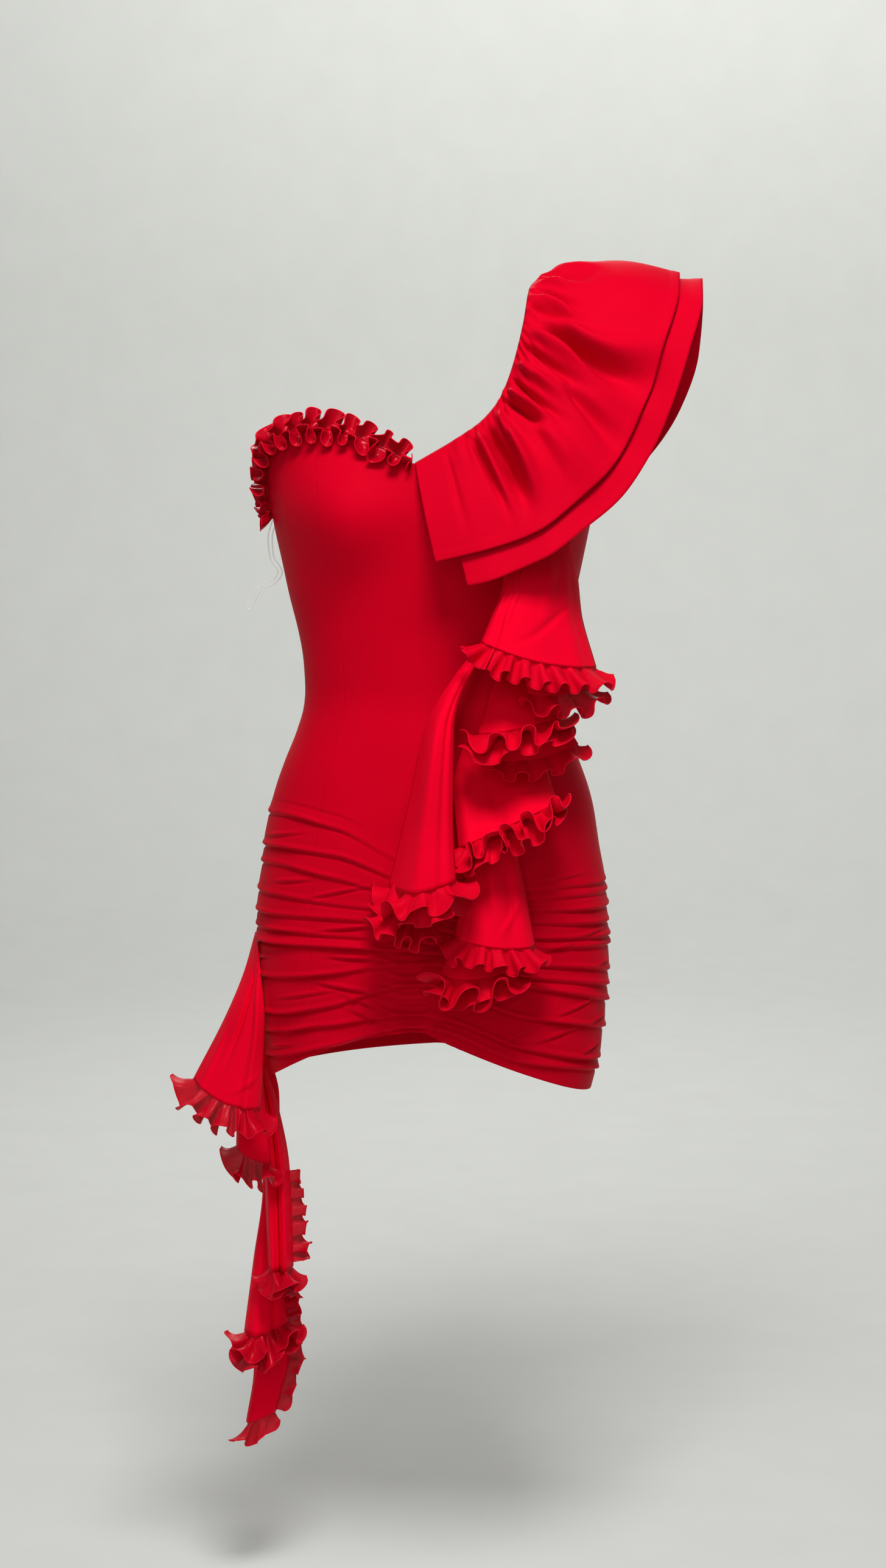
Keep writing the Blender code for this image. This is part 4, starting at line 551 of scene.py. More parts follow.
def gathers(angle, drop):
    """How proud the gathered skirt stands.

    Between one fold and the next the cloth swells gently to the fold's crest, a narrow round
    ridge, and falls away sharply below it into a thin groove. A long fold's height wanders as
    a slow sine round the body. Short folds fade at both ends. At the middle of the front a
    bell-shaped gather line draws the cloth in, and two sines down it make small puckers that
    fade on both sides.
    """
    count = len(FOLDS["front"])
    lines = [fold_drop(k, angle) for k in range(count)]
    lift = np.zeros_like(drop)
    for k in range(count):
        above = lines[k] - (lines[k - 1] if k else lines[k] - FIRST_SWELL)
        high = fold_height(k, angle)
        off = drop - lines[k]
        swell = ramp((off + above) / (SWELL_SHARE * above)) * (1 - ramp(off / SWELL_END))
        wander = 1 + 0.22 * np.sin(np.radians(angle) * (7 + k % 3) + 1.7 * k)
        ridge = bump(off / np.where(off < 0, RIDGE_ABOVE, RIDGE_BELOW))
        groove = bump((off - GROOVE_BELOW) / GROOVE_HALF)
        section = SWELL_HIGH * swell + RIDGE_HIGH * ridge - GROOVE_DEEP * groove
        lift = lift + high * wander * section
    for centre, half, place, rise, height, wide in zip(*SHORT_FOLDS.values()):
        off = (angle - centre) / half
        line = place + rise * off
        groove = bump((drop - line - SHORT_GROOVE_BELOW) / GROOVE_HALF)
        fold = bump((drop - line) / wide) - SHORT_GROOVE_DEEP * groove
        beside = np.exp(-((centre - GATHER_LINE) / DEEPER_DEGREES) ** 2)
        deep = SHORT_DEEP + SHORT_DEEPER * beside
        lift = lift + deep * height * bump(off) * fold
    near = (angle - GATHER_LINE) / GATHER_HALF
    low = ramp((drop - GATHER_TOP) / GATHER_RUN)
    lift = lift - GATHER_DEEP * np.exp(-near ** 2) * low
    # The puckers bend up on both sides of the line.
    down = drop + 0.0011 * np.abs(near) ** 1.4 - PUCKER_TOP
    puckers = np.sin(down / PUCKER_PITCH * 2 * math.pi + 0.8 * np.sin(drop * 210))
    puckers = puckers + 0.5 * np.sin(down / FINE_PITCH * 2 * math.pi + 1.3)
    reach = np.where(near < 0, PUCKER_REACH["left"], PUCKER_REACH["right"])
    return lift + PUCKER_HIGH * puckers * np.exp(-(near / reach) ** 2) * low


def seam_dip(angle, at):
    """How far the cloth sinks beside a seam: a bell three millimetres wide."""
    metres_per_degree, half, deep = 0.0028, 0.0014, 0.00012
    return deep * np.exp(-((angle - at) * metres_per_degree / half) ** 2)


def body_grid(angle, top, skirt_rows, upper_rows, side):
    """Points and normals of the body cloth on columns at the given angles, from the top to the
    hem: the cloth over the figure, lifted by its gathers, sunk beside its seams, and with a
    slow product of two sines for its slack."""
    outline = {"angle": np.arange(top["angle"][0], top["angle"][-1] + 0.25, 0.5)}
    for name in ("x", "drop"):
        outline[name] = smooth(top["angle"], top[name], outline["angle"])
    top_drop = smooth(top["angle"], top["drop"], angle)
    top_x = smooth(top["angle"], top["x"], angle)
    start = np.full_like(angle, RUCHE_TOP)
    down = np.linspace(0, 1, upper_rows) ** 1.25
    upper = top_drop + (start - top_drop) * down[:, None]
    lower = start + (hem_drop(angle) - start) * np.linspace(0, 1, skirt_rows)[1:, None]
    drop = np.concatenate([upper, lower])
    wide = np.broadcast_to(angle, drop.shape)
    if side < 0:
        strap = column_x(wide, drop, outline, (0, SHOULDER_FRONT), (SWEETHEART, SHOULDER_FRONT))
        cup = column_x(wide, drop, outline, (180, PRINCESS), (SWEETHEART, PRINCESS))
        x = np.where(wide > SWEETHEART, cup, strap)
    else:
        x = column_x(wide, drop, outline, (360, SHOULDER_BACK), (180, SHOULDER_BACK))
    x[0] = top_x
    plain = skin(x, drop, side)
    normal = grid_normals(plain)
    # Normals point away from the middle of the figure; its height counts a tenth.
    away = (plain - BODY_HEART) * [1, 1, 0.1]
    normal = normal * np.sign(np.sum(normal * away, axis=-1, keepdims=True))
    # At the side seams the two panels share one direction, so that their folds meet.
    beside = np.minimum(np.abs(np.mod(wide, 180.0)), 180 - np.mod(wide, 180.0))
    normal[..., 1] *= ramp(beside / 5)
    normal = unit(normal)
    dips = sum(seam_dip(wide, at) for at in (0, PRINCESS, 180, 360))
    fade = ramp((drop - top_drop) / 0.03)
    slack = 0.0007 * np.sin(x * 61 + drop * 23) * np.sin(drop * 47 + 1.1) * fade
    lift = gathers(wide, drop) - dips + slack
    return plain + normal * lift[..., None], normal


def neckline(share):
    """Points of the ruffle's gathered edge on the cloth, the shoulder being halfway."""
    ahead = [(x, d, -1) for a, x, d in zip(FRONT_TOP["angle"], FRONT_TOP["x"], FRONT_TOP["drop"])
             if SHOULDER_FRONT <= a <= SWEETHEART][::-1]
    behind = [(x, d, 1) for a, x, d in zip(BACK_TOP["angle"], BACK_TOP["x"], BACK_TOP["drop"])
              if RUFFLE_BACK <= a <= SHOULDER_BACK][::-1]
    points = np.array([skin(x, d, s) for x, d, s in ahead + behind[1:]])
    points[len(ahead) - 1, 1] = 0.0
    length = run_along(points)
    middle = length[len(ahead) - 1]
    at = np.where(length <= middle, 0.5 * length / middle,
                  0.5 + 0.5 * (length - middle) / (length[-1] - middle))
    return np.stack([smooth(at, points[:, i], share) for i in range(3)], axis=-1)


def ruffle_lift(share, out):
    """Height of the ruffle's folds: a soft billow, and on it listed folds, each a rounded
    ridge or trough that starts near the seam, widens on its way out and fades at its end,
    over fine gathers, a sine of an uneven pitch, that crowd at the seam and fade within a few
    centimetres."""
    lift = BILLOW * ramp(out / 0.2) * (1 - ramp((out - 0.55) / 0.55))
    for u0, out0, u1, out1, half, high in zip(*RUFFLE_FOLDS.values()):
        t = (out - out0) / (out1 - out0)
        line = u0 + (u1 - u0) * np.clip(t, 0, 1.2) ** 0.85
        wide = half * (0.55 + 0.75 * np.clip(t, 0, 1.2))
        fade = ramp(t / 0.25 + 0.05) * (1 - ramp((t - 0.45) / 0.65))
        raised = NARROW_RAISED if half < NARROW_FOLD else WIDE_RAISED
        lift = lift + raised * high * fade * bump((share - line) / wide)
    fine = np.sin(share * 330 + 3.1 * np.sin(share * 41)) * (0.6 + 0.4 * np.sin(share * 67 + 1))
    ends = ramp((share - 0.05) / 0.04) * ramp((0.97 - share) / 0.04)
    return lift + FINE_HIGH * (fine + 0.6) * ends * np.exp(-((out / FINE_REACH) ** 2))


def ruffle_grid(first, last, reach, sink, gather, count, rows):
    """Middle points of a layer of the shoulder ruffle: straight lines from the gathered edge
    to the free edge, stood off by a crown, two half waves multiplied, and by its folds. A
    layer that sinks is the under one."""
    share, out = np.meshgrid(np.linspace(first, last, count), np.linspace(0, reach, rows))
    under = sink > 0
    if under:
        out = out * (1 + UNDER_LONGER * np.exp(-((share - first) / UNDER_LONGER_RUN) ** 2))
    seam = neckline(share)
    free = np.stack([table(RUFFLE_EDGE, "u", "x", share), table(RUFFLE_EDGE, "u", "y", share),
                     -table(RUFFLE_EDGE, "u", "drop", share)], axis=-1)
    flat = seam + (free - seam) * out[..., None]
    normal = grid_normals(flat)
    normal = normal * np.sign(np.sum(normal * (flat - RUFFLE_HEART), axis=-1, keepdims=True))
    crown = RUFFLE_CROWN * np.sin(np.clip(out, 0, 1) * math.pi) * np.sin(share * math.pi) ** 2
    # The under layer's ridges are lower. Its troughs are too beside the seam, and further
    # out they are as deep as the upper layer's, so that it stays below that layer.
    lift = ruffle_lift(share, out)
    deep = gather + (1 - gather) * ramp((out - 0.14) / 0.12)
    lift = lift * np.where(lift < 0, deep, gather)
    stand = 3 * SEAM + 1.5 * RUFFLE_CLOTH + RUFFLE_STAND + crown + lift
    if under:
        stand = stand - RUFFLE_CLOTH - 2 * SEAM - sink * out
    # The gathered edge is sewn down on the body cloth.
    sewn = np.exp(-(out / SEWN_RUN) ** 2)
    stand = stand * (1 - sewn) + (SEWN_UNDER if under else SEWN_UPPER) * sewn
    # The hem is turned by a centimetre: a thicker band with a sewn line at its inner edge.
    from_edge = (out[-1] - out) * np.linalg.norm(free - seam, axis=-1)
    stand = stand + HEM_THICK * (1 - ramp((from_edge - HEM_DEPTH) / 0.0010))
    stand = stand - STITCH_DIP * bump((from_edge - STITCH_DEPTH) / 0.0012)
    return flat + normal * stand[..., None]


def seat_line(leaf, grids, share):
    """The points of a leaf's top: behind the leaf that carries it, on the front of the body
    and its gathers, or round the side of the body, where x follows from y on its section."""
    if "under" in leaf:
        carrier, down = leaf["under"]
        grid = grids[carrier]
        line = grid[int(round(down * (len(grid) - 1)))]
        return pick_along(share, np.linspace(0, 1, len(line)), line) + np.array([0, LEAF_BEHIND, 0])
    if "seat" in leaf:
        x0, drop0, x1, drop1 = leaf["seat"]
        points = skin(x0 + (x1 - x0) * share, drop0 + (drop1 - drop0) * share, -1)
        angle = 90 - np.degrees(np.arcsin(np.clip(points[:, 0] / HIP_HALF, -1, 1)))
        points[:, 1] -= gathers(angle, -points[:, 2]) * 0.8 + LEAF_AHEAD
        return points
    y0, y1, drop = leaf["side_seat"]
    y = y0 + (y1 - y0) * share
    half = table(BODY, "drop", "half", drop)
    depth = np.where(y < 0, table(BODY, "drop", "front", drop), table(BODY, "drop", "back", drop))
    x = -half * (1 - (np.abs(y) / depth) ** SECTION_POWER) ** (1 / SECTION_POWER) - LEAF_BESIDE
    return np.stack([x, y, np.full_like(y, -drop)], axis=-1)


def leaf_grid(name, leaf, grids, count, rows):
    """Points of a hanging leaf: its sections joined by smooth lines down, bowed forward by a
    half wave, with soft folds, listed creases and side edges that turn back."""
    table_rows = np.array(leaf["rows"])
    share = np.linspace(0, 1, count)
    left = table_rows[:, 0:3] * np.array([1, 1, -1])
    right = table_rows[:, 3:6] * np.array([1, 1, -1])
    lines = left[:, None] + (right - left)[:, None] * share[None, :, None]
    arch = np.sin(math.pi * share)[None, :]
    lines[..., 1] -= table_rows[:, 6:7] * arch
    lines[..., 2] -= table_rows[:, 7:8] * arch
    lines = np.concatenate([seat_line(leaf, grids, share)[None], lines])
    middle = lines[:, count // 2]
    length = run_along(middle)
    down = np.linspace(0, 1, rows)
    grid = np.empty((rows, count, 3))
    for i in range(3):
        spread = np.stack([smooth(length / length[-1], lines[:, j, i], down) for j in range(count)])
        grid[..., i] = spread.T
    room = np.linalg.norm(grid[:, -1] - grid[:, 0], axis=-1) / FOLD_ROOM
    height = leaf["depth"] * ramp(down * 1.4) * np.clip(room, 0, 1)
    across, along = np.meshgrid(share, down)
    grid[..., 1] -= 0.7 * height[:, None] * np.sin(2 * math.pi * leaf["folds"] * across)
    for s0, d0, s1, d1, half, high in LEAF_CREASES.get(name, []):
        t = (along - d0) / (d1 - d0)
        near = (across - (s0 + (s1 - s0) * t)) / half
        fade = ramp(t * 3) * (1.0 if d1 >= 1 else 1 - ramp((t - 0.5) / 0.7))
        grid[..., 1] -= high * fade * bump(near) * np.clip(room, 0, 1)[:, None]
    back0, share0, back1, share1 = LEAF_TURNS.get(name, SOFT_TURN)
    turn = back0 * np.clip(1 - across / share0, 0, 1) ** 2
    turn = turn + back1 * np.clip(1 - (1 - across) / share1, 0, 1) ** 2
    grid[..., 1] += turn * np.clip(room, 0, 1)[:, None] * ramp(along * 2)
    return grid


def leaf_path(grid, edge, first, last, steps):
    """A stretch of a leaf's edge, a little inside it and behind the cloth, where a frill is
    sewn on, with its outward and facing directions."""
    normal = grid_normals(grid)
    normal = normal * np.sign(-normal[..., 1:2] + 1e-9)
    if edge == "edge":
        line, before, face = grid[-1], grid[-4], normal[-1]
        out = unit(line - before)
    else:
        line, before, face = grid[:, -2], grid[:, -9], normal[:, -5]
        out = unit((line - before) * np.array([1.0, 0.35, 1.0]))
    at = np.linspace(0, 1, len(line))
    share = np.linspace(first, last, steps + 1)
    path, away, ahead = (pick_along(share, at, v) for v in (line, out, face))
    away, ahead = unit(away), unit(ahead)
    return path - away * 0.0018 - ahead * 0.0009, away, ahead


def frill_grid(path, out, face, waves, widths, height, turn, swing, spread, seed, shape):
    """Points of a gathered frill.

    The strip leaves the seam along the outward direction and turns towards its face along an
    arc, the crests a little further than the troughs, and more at its two ends, whose corners
    are round. A sine along it lifts it off the arc at right angles, more and more towards the
    free edge, and a second sine of twice the number of waves slides it along the seam, so that
    each crest becomes a wide loop with a narrow neck. A cosine of twice the number of waves,
    weighed by the pouch, flattens the crests and deepens the troughs between them. A cosine of
    the same waves, weighed by the scallop, makes the strip longer at each crest. The shape names
    a row of wave shapes. Each wave has its own height, place and length, drawn from the seed.
    """
    loop, lean, pouch, scallop = WAVE_SHAPES[shape]
    draw = np.random.default_rng(seed)
    steps = len(path) - 1
    u = np.linspace(0, 1, steps + 1)
    knots = np.linspace(0, 1, 2 * waves + 1)
    high = smooth(knots, 1 + UNEVEN * draw.uniform(-1.2, 1, 2 * waves + 1), u)
    late = smooth(knots, UNEVEN_PLACE * draw.uniform(-1, 1, 2 * waves + 1), u)
    long = smooth(knots, 1 + UNEVEN_LENGTH * draw.uniform(-1, 1, 2 * waves + 1), u)
    phase = u * waves * 2 * math.pi + late
    v = np.linspace(0, 1, ROWS_IN_FRILL)[:, None]
    length = np.linalg.norm(np.diff(path, axis=0), axis=1).sum()
    from_end = np.minimum(u, 1 - u) * length
    corner = np.sqrt(1 - (1 - np.clip(from_end / CORNER, 0, 1)) ** 2)
    corner = CORNER_WIDTH + (1 - CORNER_WIDTH) * corner
    long = long * (1 + scallop * high * np.cos(phase + 0.3))
    width = (widths[0] + (widths[1] - widths[0]) * u) * long * corner
    curl = math.radians(END_CURL) * np.exp(-(from_end / END_CURL_RUN) ** 2)
    angle = math.radians(turn) * (1 + swing * high * np.sin(phase + 0.35)) + curl + 0.02
    reach = (width * np.sin(angle * v) / angle)[..., None]
    rise = (width * (1 - np.cos(angle * v)) / angle)[..., None]
    tip = angle * v * lean
    normal = -np.sin(tip)[..., None] * out + np.cos(tip)[..., None] * face
    along = unit(np.gradient(path, axis=0))
    pitch = length / waves
    grow = ramp(v * width / 0.006) * (0.26 + 0.74 * v ** 1.2)
    wave = height * high * (np.sin(phase) + pouch * np.cos(2 * phase)) * grow
    slide = -loop * pitch * np.sin(2 * phase) * v ** 1.3 * high
    slide = slide + spread * (2 * u - 1) * v
    # Pinched gathers at the seam, which the cloth loses a few millimetres away from it.
    pinch = np.sin(phase * 2.5 + 0.7) + 0.6 * np.sin(phase * 4.1)
    wave = wave - PINCH_DEEP * (1.6 + pinch) * bump((v * width - PINCH_AT) / PINCH_AT)
    return (path + reach * out + rise * face + wave[..., None] * normal +
            slide[..., None] * along)


def thread_shell(path, radius):
    """A closed thread along a path: a ring of six points carried along it, each a cosine and a
    sine of its turn across the path, with two faces over each end."""
    sides = 6
    along = unit(np.gradient(path, axis=0))
    across = unit(np.cross(along, np.array([0.21, -0.9, 0.37])))
    other = np.cross(along, across)
    turn = np.arange(sides)[None, :, None] / sides * 2 * math.pi
    rings = path[:, None] + radius * (np.cos(turn) * across[:, None] + np.sin(turn) * other[:, None])
    ids = np.arange(len(path) * sides).reshape(len(path), sides)
    after = np.roll(ids, -1, axis=1)
    side = np.stack([ids[:-1], after[:-1], after[1:], ids[1:]], axis=-1).reshape(-1, 4)
    caps = [(e[0], e[1], e[2], e[3]) for e in (ids[0, ::-1], ids[-1])]
    caps += [(e[0], e[3], e[4], e[5]) for e in (ids[0, ::-1], ids[-1])]
    uv = np.stack(np.broadcast_arrays(run_along(path)[:, None], turn[..., 0] * radius), axis=-1)
    return rings.reshape(-1, 3), np.concatenate([side, caps]), uv.reshape(-1, 2)


def metres_over(grid):
    """The length across a grid from its middle, and down it, at each point: running sums."""
    across = np.linalg.norm(np.diff(grid, axis=1), axis=-1)
    down = np.linalg.norm(np.diff(grid, axis=0), axis=-1)
    u = np.concatenate([np.zeros((len(grid), 1)), np.cumsum(across, axis=1)], axis=1)
    v = np.concatenate([np.zeros((1, grid.shape[1])), np.cumsum(down, axis=0)])
    return u - u[:, -1:] / 2, v


def quads(rows, cols, start=0):
    """The faces of a grid of points, one row of indices for each."""
    a = (np.arange(rows * cols).reshape(rows, cols)[:-1, :-1] + start).reshape(-1)
    return np.stack([a, a + cols, a + cols + 1, a + 1], axis=-1)


def cloth_shell(points, thickness, normal=None):
    """A closed thin shell about a grid: one face of it, the other face and the rim between."""
    if normal is None:
        normal = grid_normals(points)
    rows, cols = points.shape[:2]
    face, back = points + normal * thickness / 2, points - normal * thickness / 2
    verts = np.concatenate([face.reshape(-1, 3), back.reshape(-1, 3)])
    start = rows * cols
    u, v = metres_over(points)
    uv = np.stack([u.reshape(-1), v.reshape(-1)], axis=-1)
    ids = np.arange(start).reshape(rows, cols)
    border = np.concatenate([ids[0, :-1], ids[:-1, -1], ids[-1, :0:-1], ids[:0:-1, 0]])
    after = np.roll(border, -1)
    rim = np.stack([border, after, after + start, border + start], axis=-1)
    faces = np.concatenate([quads(rows, cols), quads(rows, cols, start)[:, ::-1], rim])
    return verts, faces, np.concatenate([uv, uv])


def add_cloth(name, shells, finishes):
    """One object from closed shells of (points, faces, uv, finish number), each turned to face
    outward, with its place measured from the shoulder."""
    verts, faces, uvs, picks, start = [], [], [], [], 0
    for points, quad, uv, pick in shells:
        if volume(points, quad) < 0:
            quad = quad[:, [0, 3, 2, 1]]
        verts.append(points)
        faces.append(quad + start)
        uvs.append(uv)
        picks.append(np.full(len(quad), pick))
        start += len(points)
    verts = np.concatenate(verts) - SHOULDER
    faces, uvs, picks = np.concatenate(faces), np.concatenate(uvs), np.concatenate(picks)
    mesh = bpy.data.meshes.new(name)
    mesh.vertices.add(len(verts))
    mesh.vertices.foreach_set("co", verts.astype(np.float32).ravel())
    mesh.loops.add(faces.size)
    mesh.loops.foreach_set("vertex_index", faces.astype(np.int32).ravel())
    mesh.polygons.add(len(faces))
    mesh.polygons.foreach_set("loop_start", np.arange(0, faces.size, 4, dtype=np.int32))
    for finish in finishes:
        mesh.materials.append(finish)
    mesh.polygons.foreach_set("material_index", picks.astype(np.int32))
    mesh.update(calc_edges=True)
    layer = mesh.uv_layers.new(name="Cloth")
    layer.data.foreach_set("uv", uvs[faces.ravel()].astype(np.float32).ravel())
    mesh.polygons.foreach_set("use_smooth", np.ones(len(faces), dtype=bool))
    mesh.validate()
    mesh.update()
    piece = bpy.data.objects.new(name, mesh)
    bpy.context.scene.collection.objects.link(piece)
    return piece


def volume(points, quad):
    """The volume inside a closed shell, below nothing where its faces point in: a sixth of the
    triple products of its triangles' corners."""
    a, b, c, d = (points[quad[:, i]] for i in range(4))
    return (np.sum(np.cross(b, c) * a) + np.sum(np.cross(c, d) * a)) / 6


def sheet_size(grid):
    """The width, length and area that a grid of cloth has when it is laid flat."""
    u, v = metres_over(grid)
    wide = u[:, -1] - u[:, 0]
    a = np.linalg.norm(np.cross(grid[1:, 1:] - grid[:-1, :-1], grid[1:, :-1] - grid[:-1, 1:]),
                       axis=-1).sum() / 2
    return wide, v[-1], a


def put_on(piece, replaced, grids, gathered=False, gauge=1.0, level=0):
    """Hangs a finished piece on the dress and hides the parts it replaces. It works out the cut of
    its cloth, which the gauge makes smaller where it is stretched; the rows above the given level
    slope along a neckline, and don't count for its width. Gathered cloth is cut as a strip of its
    whole length. The cut is only worked out, and not kept."""
    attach(piece, "root")
    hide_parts(*replaced)
    sizes = [sheet_size(g) for g in grids]
    area = sum(s[2] for s in sizes) / gauge
    if gathered:
        return
    wide = max(s[0][level:].max() for s in sizes) / gauge
    tall = max(s[1].max() for s in sizes)
    area = min(area, wide * tall)


def new_finish(name):
    """A new material, its shader and its texture coordinates."""
    finish = bpy.data.materials.new(name)
    finish.use_nodes = True
    nodes = finish.node_tree.nodes
    return finish, nodes["Principled BSDF"], nodes.new("ShaderNodeTexCoord").outputs


def feed(finish, node, values, wires):
    """Sets inputs of a node by name, and wires others from the outputs of nodes before it."""
    for key, value in values.items():
        node.inputs[key].default_value = value
    for key, output in wires.items():
        finish.node_tree.links.new(output, node.inputs[key])


def add_node(finish, kind, give, values, wires, **settings):
    """Adds a node of that kind with its settings, feeds it, and gives back its named output."""
    node = finish.node_tree.nodes.new("ShaderNode" + kind)
    for key, value in settings.items():
        setattr(node, key, value)
    feed(finish, node, values, wires)
    return node.outputs[give]


def cloth_finish(name, colour, shade, thread_size, slant, rough, sheen, weave, gleam, alpha,
                 coat):
    """A woven or knitted cloth: two crossed waves at the thread's size drive the bump and
    darken the colour a little between the threads, a slow noise mixes the colour with its
    shade, and a finer noise moves the roughness."""
    finish, shader, place = new_finish(name)
    turned = add_node(finish, "Mapping", "Vector", {"Rotation": (0.0, 0.0, slant)},
                      {"Vector": place["UV"]})
    wave = {"Scale": WAVE_PITCH / thread_size, "Distortion": 0.6, "Detail": 1.0,
            "Detail Scale": 0.4}
    threads = [add_node(finish, "TexWave", "Fac", wave, {"Vector": turned}, bands_direction=way)
               for way in ("X", "Y")]
    cross = add_node(finish, "Math", "Value", {}, dict(enumerate(threads)), operation="MAXIMUM")
    slow = add_node(finish, "TexNoise", "Fac", {"Scale": 14.0, "Detail": 3.0},
                    {"Vector": place["Object"]})
    spread = add_node(finish, "MapRange", "Result",
                      {"From Min": 0.35, "From Max": 0.75, "To Max": 0.45}, {"Value": slow})
    blend = add_node(finish, "Mix", "Result", {"A": (*colour, 1.0), "B": (*shade, 1.0)},
                     {"Factor": spread}, data_type="RGBA")
    grain = add_node(finish, "Mix", "Result", {"Factor": 0.22}, {"A": blend, "B": cross},
                     data_type="RGBA", blend_type="MULTIPLY")
    fine = add_node(finish, "TexNoise", "Fac", {"Scale": 220.0}, {"Vector": place["Object"]})
    gloss = add_node(finish, "MapRange", "Result",
                     {"To Min": rough - 0.07, "To Max": rough + 0.07}, {"Value": fine})
    relief = add_node(finish, "Bump", "Normal",
                      {"Strength": weave, "Distance": thread_size * 0.35}, {"Height": cross})
    feed(finish, shader, {
        "Sheen Weight": sheen, "Sheen Roughness": 0.45, "Sheen Tint": (1.0, 0.004, 0.03, 1.0),
        "Specular IOR Level": gleam, "Specular Tint": (1.0, 0.06, 0.10, 1.0),
        "Coat Weight": coat, "Coat Roughness": 0.22, "Alpha": alpha,
    }, {"Base Color": grain, "Roughness": gloss, "Normal": relief})
    finish.diffuse_color = (*colour, 1.0)
    return finish


def thread_finish(name, colour):
    """Overlocked thread: a twisted wave along the edge drives the bump and the colour."""
    finish, shader, place = new_finish(name)
    wave = add_node(finish, "TexWave", "Fac",
                    {"Scale": WAVE_PITCH / THREAD_PITCH, "Distortion": 0.8},
                    {"Vector": place["UV"]}, bands_direction="DIAGONAL")
    dark = (*(c * 0.62 for c in colour), 1.0)
    tone = add_node(finish, "Mix", "Result", {"A": dark, "B": (*colour, 1.0)},
                    {"Factor": wave}, data_type="RGBA")
    relief = add_node(finish, "Bump", "Normal", {"Strength": 0.6, "Distance": 0.0003},
                      {"Height": wave})
    feed(finish, shader, {
        "Roughness": 0.50, "Specular IOR Level": 0.10, "Specular Tint": (1.0, 0.10, 0.14, 1.0),
    }, {"Base Color": tone, "Normal": relief})
    return finish


def tape_finish(name, colour):
    """Clear elastic tape: a see-through plastic with faint cloudy streaks."""
    finish, shader, place = new_finish(name)
    cloud = add_node(finish, "TexNoise", "Fac", {"Scale": 180.0}, {"Vector": place["Object"]})
    clear = add_node(finish, "MapRange", "Result", {"To Min": 0.22, "To Max": 0.55},
                     {"Value": cloud})
    feed(finish, shader, {"Base Color": (*colour, 1.0), "Roughness": 0.12, "Coat Weight": 0.6},
         {"Alpha": clear})
    return finish


def paint_finish(name, colour):
    """A matt painted surface with a faint grain."""
    finish, shader, place = new_finish(name)
    noise = add_node(finish, "TexNoise", "Fac", {"Scale": PAINT_GRAIN, "Detail": 4.0},
                     {"Vector": place["Object"]})
    dark = (*(c * 0.93 for c in colour), 1.0)
    tone = add_node(finish, "Mix", "Result", {"A": (*colour, 1.0), "B": dark},
                    {"Factor": noise}, data_type="RGBA")
    feed(finish, shader, {"Roughness": 0.9}, {"Base Color": tone})
    return finish


def kept_finish(name):
    """The finish of that name, made from the panel's colours when it is first asked for."""
    found = bpy.data.materials.get(name)
    if found:
        return found
    tones = bpy.context.scene.dress_colours
    if name in CLOTH_FINISHES:
        tone, lit, shaded, *numbers = CLOTH_FINISHES[name]
        colour = tuple(getattr(tones, tone))
        lit, shaded = (tuple(min(c * k, 1.0) for c in colour) for k in (lit, shaded))
        return cloth_finish(name, lit, shaded, *numbers)
    if name == "edge_thread":
        return thread_finish(name, tuple(tones.thread))
    return tape_finish(name, tuple(tones.tape))


class DressSizes(bpy.types.PropertyGroup):
    """The sizes of the cloth."""
    jersey: FloatProperty(name="Jersey", description="Thickness of the body cloth", default=0.0009,
                          min=0.0003, max=0.002, precision=4, subtype="DISTANCE", unit="LENGTH")
    crepe: FloatProperty(name="Crepe", description="Thickness of the ruffle and leaf cloth",
                         default=0.0008, min=0.0003, max=0.002, precision=4, subtype="DISTANCE",
                         unit="LENGTH")
    sheer: FloatProperty(name="Sheer", description="Thickness of the frill cloth", default=0.0005,
                         min=0.0002, max=0.002, precision=4, subtype="DISTANCE", unit="LENGTH")
    thread: FloatProperty(name="Thread", description="Radius of the overlocked edge",
                          default=0.00065, min=0.0002, max=0.002, precision=5,
                          subtype="DISTANCE", unit="LENGTH")
    neck_stand: FloatProperty(name="Neck frill, standing row", description="Width of the row "
                              "that stands up from the neckline", default=0.0160, min=0.004,
                              max=0.03, precision=4, subtype="DISTANCE", unit="LENGTH")
    neck_fall: FloatProperty(name="Neck frill, falling row", description="Width of the row that "
                             "falls on the body", default=0.0135, min=0.004, max=0.03,
                             precision=4, subtype="DISTANCE", unit="LENGTH")


class DressColours(bpy.types.PropertyGroup):
    """The colours of the cloth and the stage."""
    jersey: FloatVectorProperty(name="Jersey", description="Body panels", size=3,
                                default=(0.60, 0.0004, 0.014), min=0, max=1, subtype="COLOR")
    # The leaves take a brighter copy of this crepe: painted light for the shade they hang in.
    cloth: FloatVectorProperty(name="Crepe", description="Shoulder ruffle and leaves", size=3,
                               default=(0.61, 0.0005, 0.015), min=0, max=1, subtype="COLOR")
    frill: FloatVectorProperty(name="Frill", description="Sheer gathered frills", size=3,
                               default=(0.74, 0.0006, 0.018), min=0, max=1, subtype="COLOR")
    thread: FloatVectorProperty(name="Thread", description="Overlocked edges", size=3,
                                default=(0.90, 0.003, 0.026), min=0, max=1, subtype="COLOR")
    tape: FloatVectorProperty(name="Tape", description="Clear hanger tape", size=3,
                              default=(0.92, 0.95, 0.95), min=0, max=1, subtype="COLOR")
    paint: FloatVectorProperty(name="Paint", description="Floor and backdrop", size=3,
                               default=(0.70, 0.705, 0.67), min=0, max=1, subtype="COLOR")


